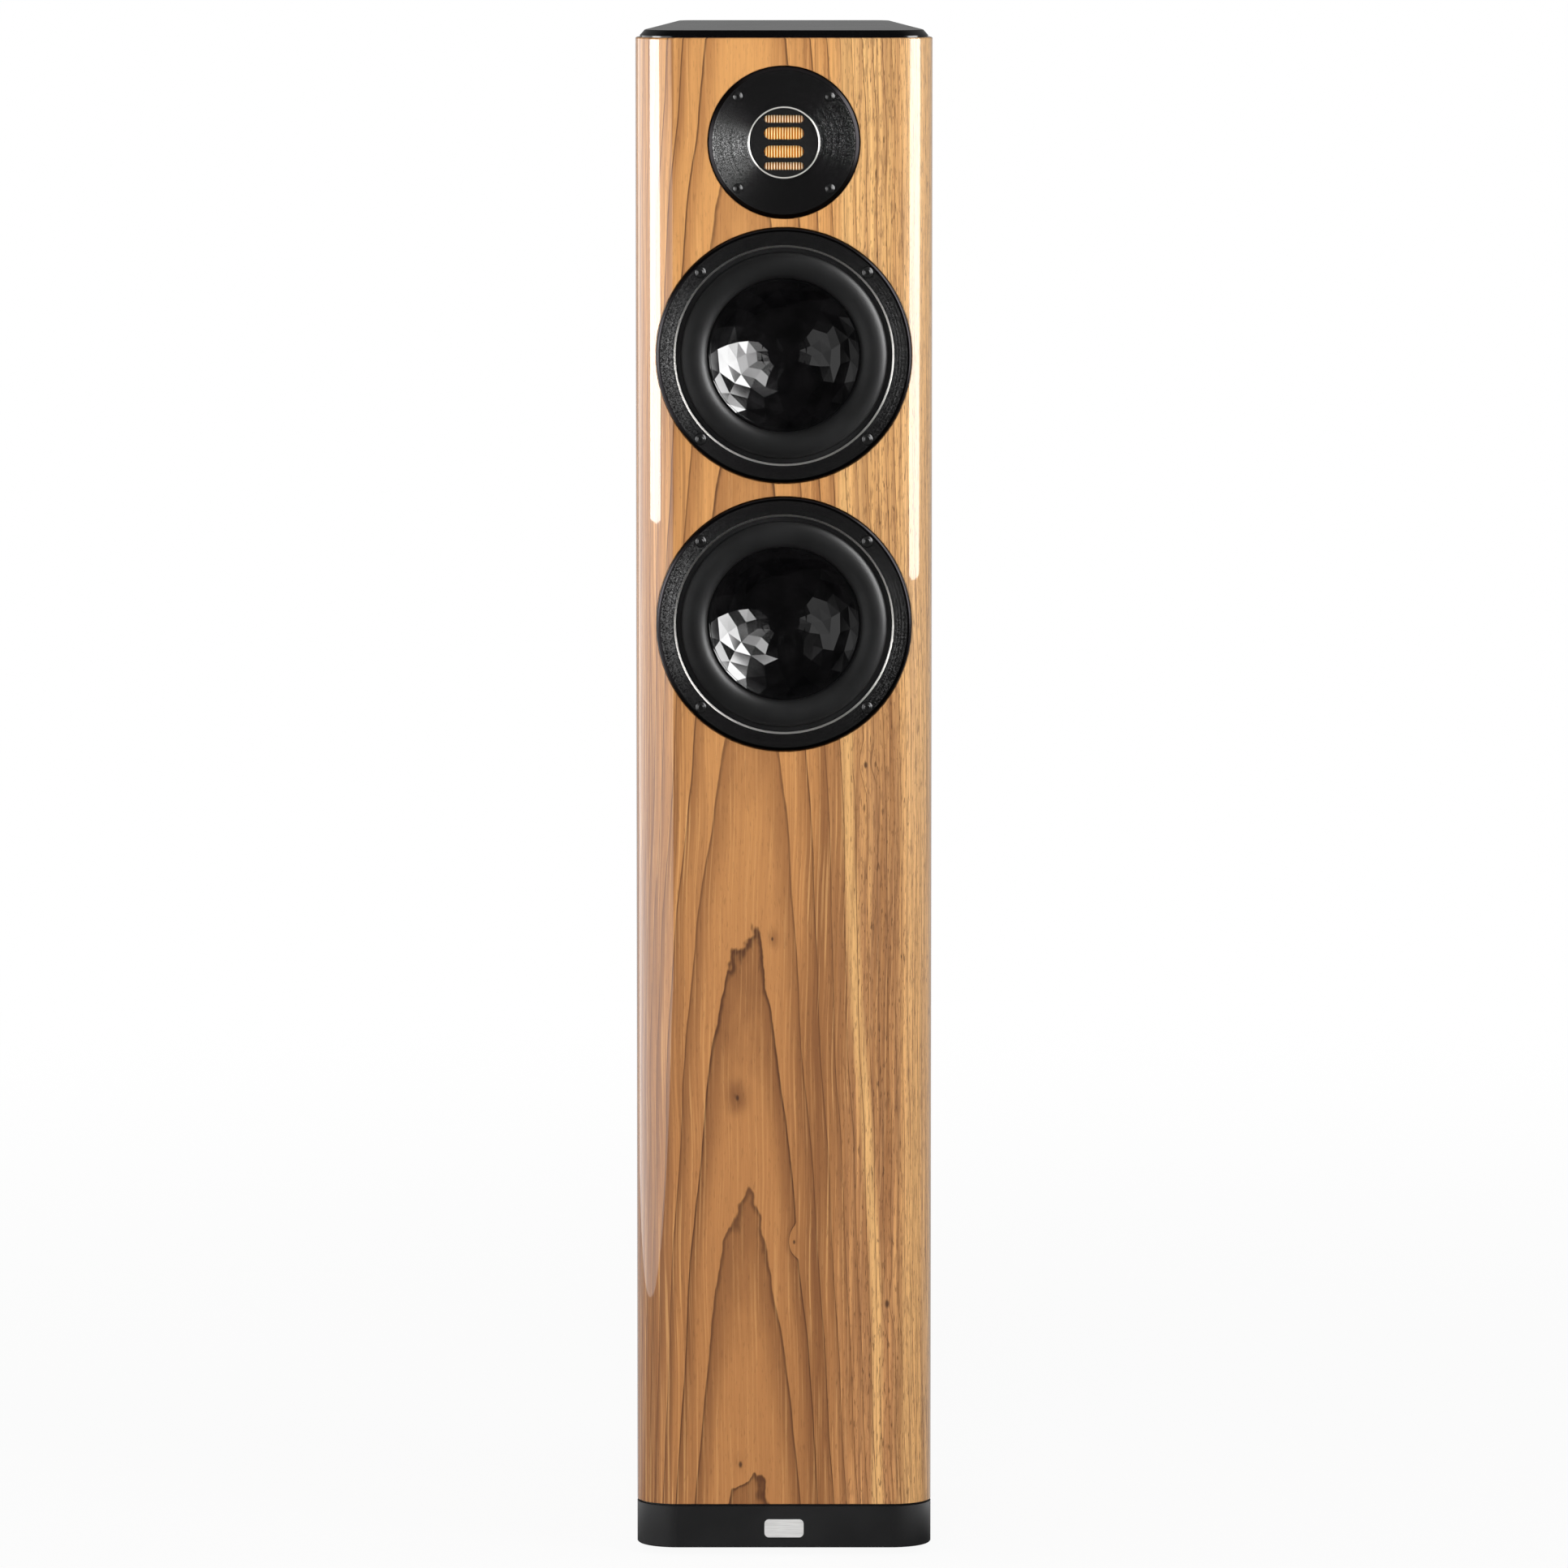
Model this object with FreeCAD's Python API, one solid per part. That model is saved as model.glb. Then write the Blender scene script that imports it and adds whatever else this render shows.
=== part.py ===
import FreeCAD, Part
import math
import os

# Floorstanding tower loudspeaker with two woofers and a folded-membrane tweeter.
# Millimetres, +Z up, the front faces -Y. The origin is on the floor, in the middle of the bounding box.
# Everything is built with the cabinet's front plane at y = 0 and is moved to its place when exported.

V = FreeCAD.Vector

# ------------------------------------------------------------------ cabinet
CABINET_WIDTH = 203.0            # widest, across the rounded front corners
CABINET_DEPTH = 285.0
TOTAL_HEIGHT = 1050.0            # floor to the top of the top plate
SIDE_TAPER = math.radians(5.0)   # each side leans in towards the rear
FRONT_CORNER_R = 28.0
REAR_CORNER_R = 18.0
TOP_EDGE_ROUND = 1.2
BAFFLE_T = 24.0
SIDE_T = 18.0
BACK_T = 20.0
END_PANEL_T = 20.0
BRACE_T = 15.0
BRACE_RIM = 22.0
BRACE_WINDOW_R = 20.0
WADDING_T = 25.0
WADDING_WIDTH = 96.0
WADDING_GAP = 6.0                # between the wadding and the braces above and below it

TOP_PLATE_T = 5.0
TOP_PLATE_INSET = 3.0            # the plate stands in from the cabinet's outline
TOP_PLATE_EDGE = 1.2             # upright part of its edge, under the bevel
TOP_PLATE_BEVEL = 3.4

PLINTH_H = 29.0
PLINTH_WALL = 8.0
PLINTH_CHAMFER = 0.8
SPACER_T = 1.5                   # dark gap between the plinth and the cabinet
SPACER_INSET = 3.0
BADGE_W = 27.0
BADGE_H = 12.5
BADGE_T = 0.8
BADGE_RISE = 7.3                 # plinth's lower edge to the badge's lower edge
BOLT_R = 3.0
BOLT_HEAD_R = 5.0
BOLT_HEAD_H = 6.0
BOLT_LENGTH = 24.0
BOLT_PLACES = [(45.0, 75.0), (38.0, 205.0)]

# ------------------------------------------------------------------ feet
FOOT_PLACES = {"front": (75.0, 45.0), "rear": (55.0, 240.0)}
PAD_R = 16.0
PAD_H = 5.0
SWIVEL_R = 5.0
SWIVEL_H = 3.0
HEX_AF = 13.0
HEX_H = 4.0
STUD_R = 4.0
STUD_LENGTH = 21.0
BOSS_R = 12.0
THREAD_CLEARANCE = 0.05          # running fit of every screw thread
SWIVEL_CLEARANCE = 0.1

# ------------------------------------------------------------------ drivers
TWEETER_DROP = 71.0              # cabinet top to tweeter centre
WOOFER_DROP = 145.3              # tweeter centre to upper woofer centre
WOOFER_PITCH = 183.9             # between the woofers
FLANGE_GAP = 0.4                 # around every flange in its rebate
GASKET_T = 0.8
SCREW_ANGLES = [45.0, 135.0, 225.0, 315.0]
SCREW_CLEARANCE = 0.4            # shank in a flange's hole
PILOT_CLEARANCE = 0.1            # shank in the wood
HEAD_CLEARANCE = 0.3             # head in its recess
PILOT_EXTRA = 0.5

BASKET_R = 72.0
BASKET_WALL = 2.0
FLANGE_PROUD = 2.5
FLANGE_T = 5.6
FLANGE_ROUND = 3.0
FLANGE_WIDTH = 13.6              # mouth to the flange's edge
MOUTH_STEP = 1.9                 # mouth radius beyond the basket's body
MOUTH_CHAMFER = 1.3
LEDGE_U = 1.4                    # ledge for the surround, below the baffle's face
CUTOUT_CLEARANCE = 1.5
CUTOUT_FLARE = 5.0               # the cut-out widens towards the inside
CUTOUT_FLARE_DEPTH = 8.0
WOOFER_SCREW_FROM_MOUTH = 6.6
WOOFER_SCREW_R = 1.9
WOOFER_SCREW_LENGTH = 19.0
WOOFER_HEAD_R = 3.9
WOOFER_HEAD_H = 2.4
WOOFER_HEAD_FLOOR_U = 0.1
WOOFER_SOCKET_AF = 3.0

SURROUND_T = 0.6
SURROUND_LANDING = 2.8
ROLL_HEIGHT = 6.2                # apex of the roll above its outer landing
ROLL_WIDTH = 18.3
CONE_T = 0.8
CONE_RIM = 2.3
RIM_LAP_STEP = 0.9               # the surround's lap starts this far out on the rim
LANDING_CLEARANCE = 0.2
CONE_RIM_U = 2.4
CONE_DEPTH = 24.0
CONE_COLLAR_END_U = 28.0
CONE_COLLAR_T = 1.0
RIM_CLEARANCE = 0.3

SPIDER_LEDGE_U = 37.0
SPIDER_LEDGE_STEP = 19.0         # ledge's outer radius inside the basket's body
SPIDER_LEDGE_W = 6.0
SPIDER_T = 0.5
SPIDER_WAVES = 5
SPIDER_WAVE_H = 1.1
SPIDER_NECK = 3.7                # flat ring round the former
SPIDER_FOOT = 1.0                # flat ring inside the ledge
BASKET_SEAT_U = 50.0
BASKET_SEAT_T = 3.5
BASKET_SEAT_ROOM = 3.1           # between the winding and the seat's hole
SPOKES = 6
SPOKE_ANGLE = 14.0

COIL_R = 16.0
FORMER_T = 0.3
WINDING_T = 0.6
WINDING_LENGTH = 14.0
COIL_GAP = 0.3
POLE_GAP = 0.6
FRONT_PLATE_STEP = 2.0           # front plate's edge inside the spider ledge
FRONT_PLATE_T = 6.0
MAGNET_OVERHANG = 5.0            # beyond the front plate
MAGNET_ROOM = 7.1                # between the winding and the magnet's hole
MAGNET_T = 16.0
YOKE_OVERHANG = 1.0
YOKE_T = 6.0
VENT_R = 5.0

STRIP_W = 14.0
STRIP_T = 3.8
STRIP_H = 5.5
TAB_LENGTH = 6.7
TAB_W = 2.8
TAB_T = 0.8
TAB_X = 3.9

TWEETER_R = 52.0
TWEETER_EDGE_R = 49.2            # where the face meets the edge bevel
TWEETER_EDGE_PROUD = 1.7
TWEETER_RING_PROUD = 4.5         # the face rises to the ring as a shallow cone
TWEETER_BEVEL_END_U = 0.9
TWEETER_BACK_U = 3.0
TWEETER_SCREW_CIRCLE_R = 44.15
TWEETER_SCREW_R = 1.8
TWEETER_SCREW_LENGTH = 17.0
TWEETER_HEAD_R = 3.3
TWEETER_HEAD_H = 2.2
TWEETER_HEAD_FLOOR_U = -0.2
TWEETER_SOCKET_AF = 2.5
RING_R = 24.5
RING_W = 1.0
RING_PROUD = 5.0
RING_SEAT_U = -1.5
GRILLE_R = 22.9
GRILLE_PROUD = 3.2
POLE_PLATE_R = 34.0
POLE_PLATE_T = 4.0
SLOT_LENGTH = 27.0
SLOTS = [(16.0, 5.2), (6.2, 8.25), (-6.2, 8.25), (-16.0, 5.2)]   # height of the middle, width
FRAME_W = 38.0
FRAME_H = 56.0
FRAME_T = 6.0
MEMBRANE_W = 30.0
MEMBRANE_H = 42.0
PLEATS = 16
PLEAT_DEPTH = 3.6
PLEAT_SHEET = 1.0                # the sheet measured along the pleat's depth
PLEAT_INSET = 1.2
BAR_MAGNET_X = 19.5
BAR_MAGNET_W = 8.5
BAR_MAGNET_H = 34.0
CHAMBER_R = 32.0
CHAMBER_DEPTH = 28.0
CHAMBER_WALL = 2.5

# ------------------------------------------------------------------ rear
PORT_DROP = 35.0                 # lower woofer centre to port centre
PORT_R = 30.0
PORT_WALL = 2.5
PORT_LENGTH = 130.0
PORT_FLARE_R = 10.0
PORT_FLANGE_R = 45.0
PORT_FLANGE_SINK = 3.0
PORT_FLANGE_PROUD = 1.0
PORT_HUB_R = 36.0
PORT_HUB_LENGTH = 5.0
PORT_HOLE_CLEARANCE = 0.5

TERMINAL_Z = 150.0
TERMINAL_PLATE_W = 84.0
TERMINAL_PLATE_H = 60.0
TERMINAL_PLATE_T = 3.0
TERMINAL_PLATE_R = 6.0
TERMINAL_HOLE_W = 60.0
TERMINAL_HOLE_H = 36.0
POST_X = 19.0                    # half of the 38 mm between the two binding posts
POST_FLANGE_R = 8.0
POST_FLANGE_T = 6.0
POST_ROD_R = 3.9
POST_ROD_LENGTH = 18.0
POST_TAIL_R = 3.0
POST_TAIL_LENGTH = 14.0
POST_TAIL_CLEARANCE = 0.2
SOCKET_R = 2.0
SOCKET_DEPTH = 19.0
COLOUR_WASHER_R = 7.5
COLOUR_WASHER_T = 2.0
KNOB_R = 8.0
KNOB_FLUTES = 12
KNOB_FLUTE_R = 1.2
NUT_AF = 10.0
NUT_T = 4.0
PLATE_SCREW_R = 1.6
PLATE_SCREW_LENGTH = 14.0
PLATE_SCREW_HEAD_R = 3.0
PLATE_SCREW_HEAD_H = 1.8
PLATE_SCREW_SOCKET_AF = 2.5
PLATE_SCREW_X = 36.0
PLATE_SCREW_Z = 23.0

# ------------------------------------------------------------------ crossover and wiring
BOARD_W = 104.0
BOARD_LENGTH = 160.0
BOARD_T = 2.0
BOARD_Y = 60.0
STANDOFF_H = 8.0
STANDOFF_R = 4.0
STANDOFF_INSET = 8.0
COIL_PLACES = [(-26.0, 90.0, 22.0, 9.0, 20.0), (-26.0, 150.0, 20.0, 8.0, 18.0), (20.0, 90.0, 17.0, 7.0, 15.0)]
CAPACITOR_R = 8.0
CAPACITOR_LENGTH = 32.0
CAPACITOR_PLACES = [(11.0, 142.0), (11.0, 162.0), (-10.0, 180.0), (-10.0, 198.0)]
CAPACITOR_FLAT = 0.6             # glued down along a narrow flat
RESISTOR_SIZE = (9.0, 32.0, 9.0)
RESISTOR_PLACES = [(44.0, 150.0), (33.0, 184.0), (44.0, 192.0)]
WIRE_R = 1.5
WIRE_BEND_R = 10.0
WIRE_RUN_Y = 130.0
WIRE_RUN_X = [35.0, 39.5, 44.0]  # lower woofer, upper woofer, tweeter
WIRE_OVER = 14.0                 # height of a wire's turn above a woofer's tab
WIRE_BACK = 60.0                 # how far a terminal wire runs in before it turns down

# ------------------------------------------------------------------ worked-out radii of a woofer
throat_r = BASKET_R - BASKET_WALL
mouth_r = BASKET_R + MOUTH_STEP
flange_r = mouth_r + FLANGE_WIDTH
screw_circle_r = mouth_r + WOOFER_SCREW_FROM_MOUTH
landing_r = mouth_r - LANDING_CLEARANCE
roll_out_r = landing_r - SURROUND_LANDING
roll_in_r = roll_out_r - ROLL_WIDTH
cone_r = roll_in_r - RIM_CLEARANCE
former_r = COIL_R + FORMER_T
coil_r = former_r + WINDING_T
seat_hole_r = coil_r + BASKET_SEAT_ROOM
ledge_out_r = BASKET_R - SPIDER_LEDGE_STEP
ledge_in_r = ledge_out_r - SPIDER_LEDGE_W
front_plate_r = ledge_in_r - FRONT_PLATE_STEP
magnet_r = front_plate_r + MAGNET_OVERHANG
strip_in_r = front_plate_r + 0.5
strip_out_r = strip_in_r + STRIP_T

# ------------------------------------------------------------------ worked-out places
side_at_front = CABINET_WIDTH / 2 + FRONT_CORNER_R * (math.tan(SIDE_TAPER) + 1 / math.cos(SIDE_TAPER) - 1)
plinth_bottom = PAD_H
plinth_top = plinth_bottom + PLINTH_H
shell_bottom = plinth_top + SPACER_T
shell_top = TOTAL_HEIGHT - TOP_PLATE_T
back_inside = CABINET_DEPTH - BACK_T
tweeter_z = shell_top - TWEETER_DROP
upper_woofer_z = tweeter_z - WOOFER_DROP
lower_woofer_z = upper_woofer_z - WOOFER_PITCH
woofer_heights = {"upper": upper_woofer_z, "lower": lower_woofer_z}
port_z = lower_woofer_z - PORT_DROP
floor_of_box = shell_bottom + END_PANEL_T
flange_back = FLANGE_T - FLANGE_PROUD
woofer_rebate = flange_back + GASKET_T
tweeter_rebate = TWEETER_BACK_U + GASKET_T
roll_apex_u = LEDGE_U - SURROUND_T - ROLL_HEIGHT
knob_end = TERMINAL_PLATE_T + POST_FLANGE_T + POST_ROD_LENGTH
front_y = -(CABINET_DEPTH + knob_end + roll_apex_u) / 2


# ------------------------------------------------------------------ shapes
def box(x0, x1, y0, y1, z0, z1):
    return Part.makeBox(x1 - x0, y1 - y0, z1 - z0, V(x0, y0, z0))


def rod(radius, z0, z1, x=0.0, y=0.0):
    return Part.makeCylinder(radius, z1 - z0, V(x, y, z0))


def ring(r_out, r_in, z0, z1, x=0.0, y=0.0):
    return rod(r_out, z0, z1, x, y).cut(rod(r_in, z0, z1, x, y))


def hexagon(across_flats, z0, z1, x=0.0, y=0.0):
    """Upright hexagonal bar."""
    radius = across_flats / math.sqrt(3)
    angles = [math.radians(60 * k) for k in range(7)]
    points = [V(x + radius * math.cos(a), y + radius * math.sin(a), z0) for a in angles]
    return Part.Face(Part.makePolygon(points)).extrude(V(0, 0, z1 - z0))


def turned(profile, start=0.0, sweep=360.0):
    """Solid turned about Z. A step (r, z) is a straight edge; (r_via, z_via, r, z) is an arc."""
    here = V(profile[0][0], 0, profile[0][1])
    edges = []
    for step in profile[1:] + profile[:1]:
        end = V(step[-2], 0, step[-1])
        if len(step) == 4:
            edges.append(Part.Arc(here, V(step[0], 0, step[1]), end).toShape())
        else:
            edges.append(Part.LineSegment(here, end).toShape())
        here = end
    solid = Part.Face(Part.Wire(edges)).revolve(V(0, 0, 0), V(0, 0, 1), sweep)
    if solid.Volume < 0:
        solid = solid.reversed()
    solid.rotate(V(0, 0, 0), V(0, 0, 1), start)
    return solid


def rounded_path(points, radii, closed):
    """Straight runs through points, joined by tangent arcs of the given radii."""
    count = len(points)
    edges = []
    here = None if closed else points[0]
    turns = range(count) if closed else range(1, count - 1)
    first = None
    for k in turns:
        corner = points[k]
        to_last = (points[k - 1] - corner).normalize()
        to_next = (points[(k + 1) % count] - corner).normalize()
        half = to_last.getAngle(to_next) / 2
        bisector = (to_last + to_next).normalize()
        radius = radii[k]
        start = corner + to_last * (radius / math.tan(half))
        end = corner + to_next * (radius / math.tan(half))
        middle = corner + bisector * (radius / math.sin(half) - radius)
        if here is None:
            first = start
        else:
            edges.append(Part.LineSegment(here, start).toShape())
        edges.append(Part.Arc(start, middle, end).toShape())
        here = end
    last = first if closed else points[-1]
    edges.append(Part.LineSegment(here, last).toShape())
    return Part.Wire(edges)


def rounded_prism(corners, z0, z1):
    """Upright prism; each corner is (x, y, radius)."""
    points = [V(x, y, z0) for x, y, radius in corners]
    radii = [radius for x, y, radius in corners]
    return Part.Face(rounded_path(points, radii, True)).extrude(V(0, 0, z1 - z0))


def rounded_plate(width, height, radius, z0, z1, x=0.0, y=0.0):
    half_w = width / 2
    half_h = height / 2
    signs = [(-1, -1), (1, -1), (1, 1), (-1, 1)]
    return rounded_prism([(x + sx * half_w, y + sy * half_h, radius) for sx, sy in signs], z0, z1)


def prism(points, z0, z1):
    """Upright prism with sharp corners."""
    wire = Part.makePolygon([V(x, y, z0) for x, y in points + points[:1]])
    return Part.Face(wire).extrude(V(0, 0, z1 - z0))


def joined(shapes):
    return shapes[0].multiFuse(shapes[1:]).removeSplitter()


def without(shape, tools):
    for tool in tools:
        shape = shape.cut(tool)
    return shape


def group(shapes):
    return Part.makeCompound(shapes)


def around(shape, angle):
    copy = shape.copy()
    copy.rotate(V(0, 0, 0), V(0, 0, 1), angle)
    return copy


def on_circle(shape, radius, angles):
    """Copies of a shape made at the origin, moved out to a circle about Z."""
    copies = []
    for angle in angles:
        copy = shape.copy()
        copy.translate(V(radius, 0, 0))
        copies.append(around(copy, angle))
    return copies


def on_baffle(shape, z):
    """From a driver's own frame, +Z into the cabinet, to its place on the baffle."""
    copy = shape.copy()
    copy.rotate(V(0, 0, 0), V(1, 0, 0), -90)
    copy.translate(V(0, 0, z))
    return copy


def on_back(shape, z, x=0.0):
    """From a frame whose +Z leaves the rear face to its place on the back."""
    copy = on_baffle(shape, z)
    copy.translate(V(x, CABINET_DEPTH, 0))
    return copy


def socket_screw(head_r, head_h, shank_r, length, socket_af):
    """Screw along +Z with the underside of its head at z = 0."""
    solid = rod(head_r, -head_h, 0).fuse(rod(shank_r, 0, length))
    return solid.cut(hexagon(socket_af, -head_h, -head_h / 3)).removeSplitter()


# ------------------------------------------------------------------ cabinet
def outline_corners(inset):
    """Plan of the cabinet, stepped in by an inset: rounded front corners and sides that taper."""
    side = side_at_front - inset / math.cos(SIDE_TAPER)
    front = inset
    rear = CABINET_DEPTH - inset
    front_x = side - front * math.tan(SIDE_TAPER)
    rear_x = side - rear * math.tan(SIDE_TAPER)
    front_r = FRONT_CORNER_R - inset
    rear_r = REAR_CORNER_R - inset
    return [(-front_x, front, front_r), (front_x, front, front_r), (rear_x, rear, rear_r), (-rear_x, rear, rear_r)]


def outline_prism(inset, z0, z1):
    return rounded_prism(outline_corners(inset), z0, z1)


def bevelled_outline(inset, bevel, z0, z1):
    """Slice whose outline steps in by the bevel from z0 to z1."""
    wires = []
    for step, z in ((inset, z0), (inset + bevel, z1)):
        corners = outline_corners(step)
        wires.append(rounded_path([V(x, y, z) for x, y, radius in corners], [c[2] for c in corners], True))
    return Part.makeLoft(wires, True, True)


def inside_half_width(y):
    """Half the clear width between the sides."""
    return side_at_front - SIDE_T / math.cos(SIDE_TAPER) - y * math.tan(SIDE_TAPER)


def inside_prism(y0, y1, z0, z1, rim=0.0):
    near = inside_half_width(y0) - rim
    far = inside_half_width(y1) - rim
    return prism([(-near, y0), (near, y0), (far, y1), (-far, y1)], z0, z1)


def woofer_holes(z):
    """Rebate, cut-out with a flared inside, and pilot holes."""
    hole_r = BASKET_R + CUTOUT_CLEARANCE
    flare_start = BAFFLE_T - CUTOUT_FLARE_DEPTH
    cuts = [rod(flange_r + FLANGE_GAP, -FLANGE_PROUD, woofer_rebate), rod(hole_r, -FLANGE_PROUD, BAFFLE_T)]
    cuts.append(turned([(0, flare_start), (hole_r, flare_start), (hole_r + CUTOUT_FLARE, BAFFLE_T), (0, BAFFLE_T)]))
    pilot_end = WOOFER_HEAD_FLOOR_U + WOOFER_SCREW_LENGTH + PILOT_EXTRA
    pilot = rod(WOOFER_SCREW_R + PILOT_CLEARANCE, 0, pilot_end)
    cuts += on_circle(pilot, screw_circle_r, SCREW_ANGLES)
    return [on_baffle(cut, z) for cut in cuts]


def tweeter_holes(z):
    cuts = [rod(TWEETER_R + FLANGE_GAP, -TWEETER_EDGE_PROUD, tweeter_rebate)]
    cuts.append(rod(POLE_PLATE_R + CUTOUT_CLEARANCE, 0, BAFFLE_T))
    pilot_end = TWEETER_HEAD_FLOOR_U + TWEETER_SCREW_LENGTH + PILOT_EXTRA
    pilot = rod(TWEETER_SCREW_R + PILOT_CLEARANCE, 0, pilot_end)
    cuts += on_circle(pilot, TWEETER_SCREW_CIRCLE_R, SCREW_ANGLES)
    return [on_baffle(cut, z) for cut in cuts]


def cabinet_shell():
    """Baffle and both sides in one wrap; the back closes the open rear."""
    solid = outline_prism(0.0, shell_bottom, shell_top)
    top_edges = [e for e in solid.Edges if all(abs(v.Z - shell_top) < 1e-6 for v in e.Vertexes)]
    solid = solid.makeFillet(TOP_EDGE_ROUND, top_edges)
    solid = solid.cut(inside_prism(BAFFLE_T, CABINET_DEPTH + 1, shell_bottom - 1, shell_top + 1))
    for z in woofer_heights.values():
        solid = without(solid, woofer_holes(z))
    return without(solid, tweeter_holes(tweeter_z))


def back_panel():
    solid = inside_prism(back_inside, CABINET_DEPTH, shell_bottom, shell_top)
    port_rebate = rod(PORT_FLANGE_R + FLANGE_GAP, -PORT_FLANGE_SINK, 1)
    port_hole = rod(PORT_HUB_R + PORT_HOLE_CLEARANCE, -BACK_T - 1, 1)
    terminal_hole = rounded_plate(TERMINAL_HOLE_W, TERMINAL_HOLE_H, PLATE_SCREW_HEAD_R, -BACK_T - 1, 1)
    pilot = rod(PLATE_SCREW_R + PILOT_CLEARANCE, TERMINAL_PLATE_T - PLATE_SCREW_LENGTH - PILOT_EXTRA, 1)
    cuts = [on_back(port_rebate, port_z), on_back(port_hole, port_z), on_back(terminal_hole, TERMINAL_Z)]
    for x, z in plate_screw_places():
        cuts.append(on_back(pilot, z, x))
    return without(solid, cuts)


def top_panel():
    return inside_prism(BAFFLE_T, back_inside, shell_top - END_PANEL_T, shell_top)


def bolt_places():
    return [(side * x, y) for x, y in BOLT_PLACES for side in (-1, 1)]


def bottom_panel():
    holes = [rod(BOLT_R + PILOT_CLEARANCE, shell_bottom, floor_of_box, x, y) for x, y in bolt_places()]
    return without(inside_prism(BAFFLE_T, back_inside, shell_bottom, floor_of_box), holes)


def brace_heights():
    """Middles of the braces: one between each pair of drivers and two that share the space below."""
    above = (tweeter_z - TWEETER_R + upper_woofer_z + flange_r) / 2
    between = (upper_woofer_z + lower_woofer_z) / 2
    low_space = lower_woofer_z - flange_r - floor_of_box
    return [above, between, floor_of_box + low_space * 2 / 3, floor_of_box + low_space / 3]


def window_braces():
    braces = []
    for z in brace_heights():
        z0 = z - BRACE_T / 2
        z1 = z + BRACE_T / 2
        plate = inside_prism(BAFFLE_T, back_inside, z0, z1)
        near_y = BAFFLE_T + BRACE_RIM
        far_y = back_inside - BRACE_RIM
        near = inside_half_width(near_y) - BRACE_RIM
        far = inside_half_width(far_y) - BRACE_RIM
        corners = [(-near, near_y), (near, near_y), (far, far_y), (-far, far_y)]
        window = rounded_prism([(x, y, BRACE_WINDOW_R) for x, y in corners], z0 - 1, z1 + 1)
        braces.append(plate.cut(window))
    return group(braces)


def damping_wadding():
    """Pads on the inside of the back, in the bays that hold neither port nor terminals."""
    above, between, upper_low, lower_low = brace_heights()
    port_low = port_z - PORT_FLANGE_R
    reach = BRACE_T / 2 + WADDING_GAP
    bays = [(between + reach, above - reach), (upper_low + reach, port_low), (lower_low + reach, upper_low - reach)]
    half = WADDING_WIDTH / 2
    return group([box(-half, half, back_inside - WADDING_T, back_inside, z0, z1) for z0, z1 in bays])


def top_plate():
    edge_top = shell_top + TOP_PLATE_EDGE
    lower = outline_prism(TOP_PLATE_INSET, shell_top, edge_top)
    upper = bevelled_outline(TOP_PLATE_INSET, TOP_PLATE_BEVEL, edge_top, TOTAL_HEIGHT)
    return joined([lower, upper])


# ------------------------------------------------------------------ plinth and feet
def foot_places():
    return {f"{row}_{hand}": (sign * x, y) for row, (x, y) in FOOT_PLACES.items() for hand, sign in
            (("left", -1), ("right", 1))}


def base_plinth():
    """Hollow from below, with a threaded boss over each foot."""
    chamfer_top = plinth_bottom + PLINTH_CHAMFER
    foot = bevelled_outline(0.0, PLINTH_CHAMFER, chamfer_top, plinth_bottom)
    solid = joined([outline_prism(0.0, chamfer_top, plinth_top), foot])
    deck = plinth_top - PLINTH_WALL
    solid = solid.cut(outline_prism(PLINTH_WALL, plinth_bottom - 1, deck))
    bosses = [rod(BOSS_R, plinth_bottom, deck, x, y) for x, y in foot_places().values()]
    solid = joined([solid] + bosses)
    hex_room = HEX_AF / math.sqrt(3) + HEAD_CLEARANCE * 2
    hex_top = plinth_bottom + HEX_H + SWIVEL_CLEARANCE * 2
    thread_top = plinth_bottom + HEX_H + STUD_LENGTH + 1
    cuts = []
    for x, y in foot_places().values():
        cuts.append(rod(hex_room, plinth_bottom - 1, hex_top, x, y))
        cuts.append(rod(STUD_R + THREAD_CLEARANCE, hex_top - 1, thread_top, x, y))
    cuts += [rod(BOLT_R + SCREW_CLEARANCE, deck - 1, plinth_top + 1, x, y) for x, y in bolt_places()]
    return without(solid, cuts)


def plinth_spacer():
    holes = [rod(BOLT_R + SCREW_CLEARANCE, plinth_top - 1, shell_bottom + 1, x, y) for x, y in bolt_places()]
    return without(outline_prism(SPACER_INSET, plinth_top, shell_bottom), holes)


def plinth_bolts():
    deck = plinth_top - PLINTH_WALL
    bolts = []
    for x, y in bolt_places():
        bolt = socket_screw(BOLT_HEAD_R, BOLT_HEAD_H, BOLT_R, BOLT_LENGTH, BOLT_HEAD_R)
        bolt.translate(V(x, y, deck))
        bolts.append(bolt)
    return group(bolts)


def name_badge():
    """Small blank plate on the front of the plinth."""
    plate = rounded_plate(BADGE_W, BADGE_H, BADGE_H / 4, -BADGE_T, 0)
    return on_baffle(plate, plinth_bottom + BADGE_RISE + BADGE_H / 2)


def foot_pad(x, y):
    socket = rod(SWIVEL_R + SWIVEL_CLEARANCE, PAD_H - SWIVEL_H, PAD_H, x, y)
    return rod(PAD_R, 0, PAD_H, x, y).cut(socket)


def foot_stud(x, y):
    """Threaded stud with a hexagon to turn it and a disc that swivels in the pad."""
    hex_top = PAD_H + HEX_H
    parts = [rod(SWIVEL_R, PAD_H - SWIVEL_H, PAD_H, x, y), hexagon(HEX_AF, PAD_H, hex_top, x, y)]
    parts.append(rod(STUD_R, hex_top, hex_top + STUD_LENGTH, x, y))
    return joined(parts)


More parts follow.
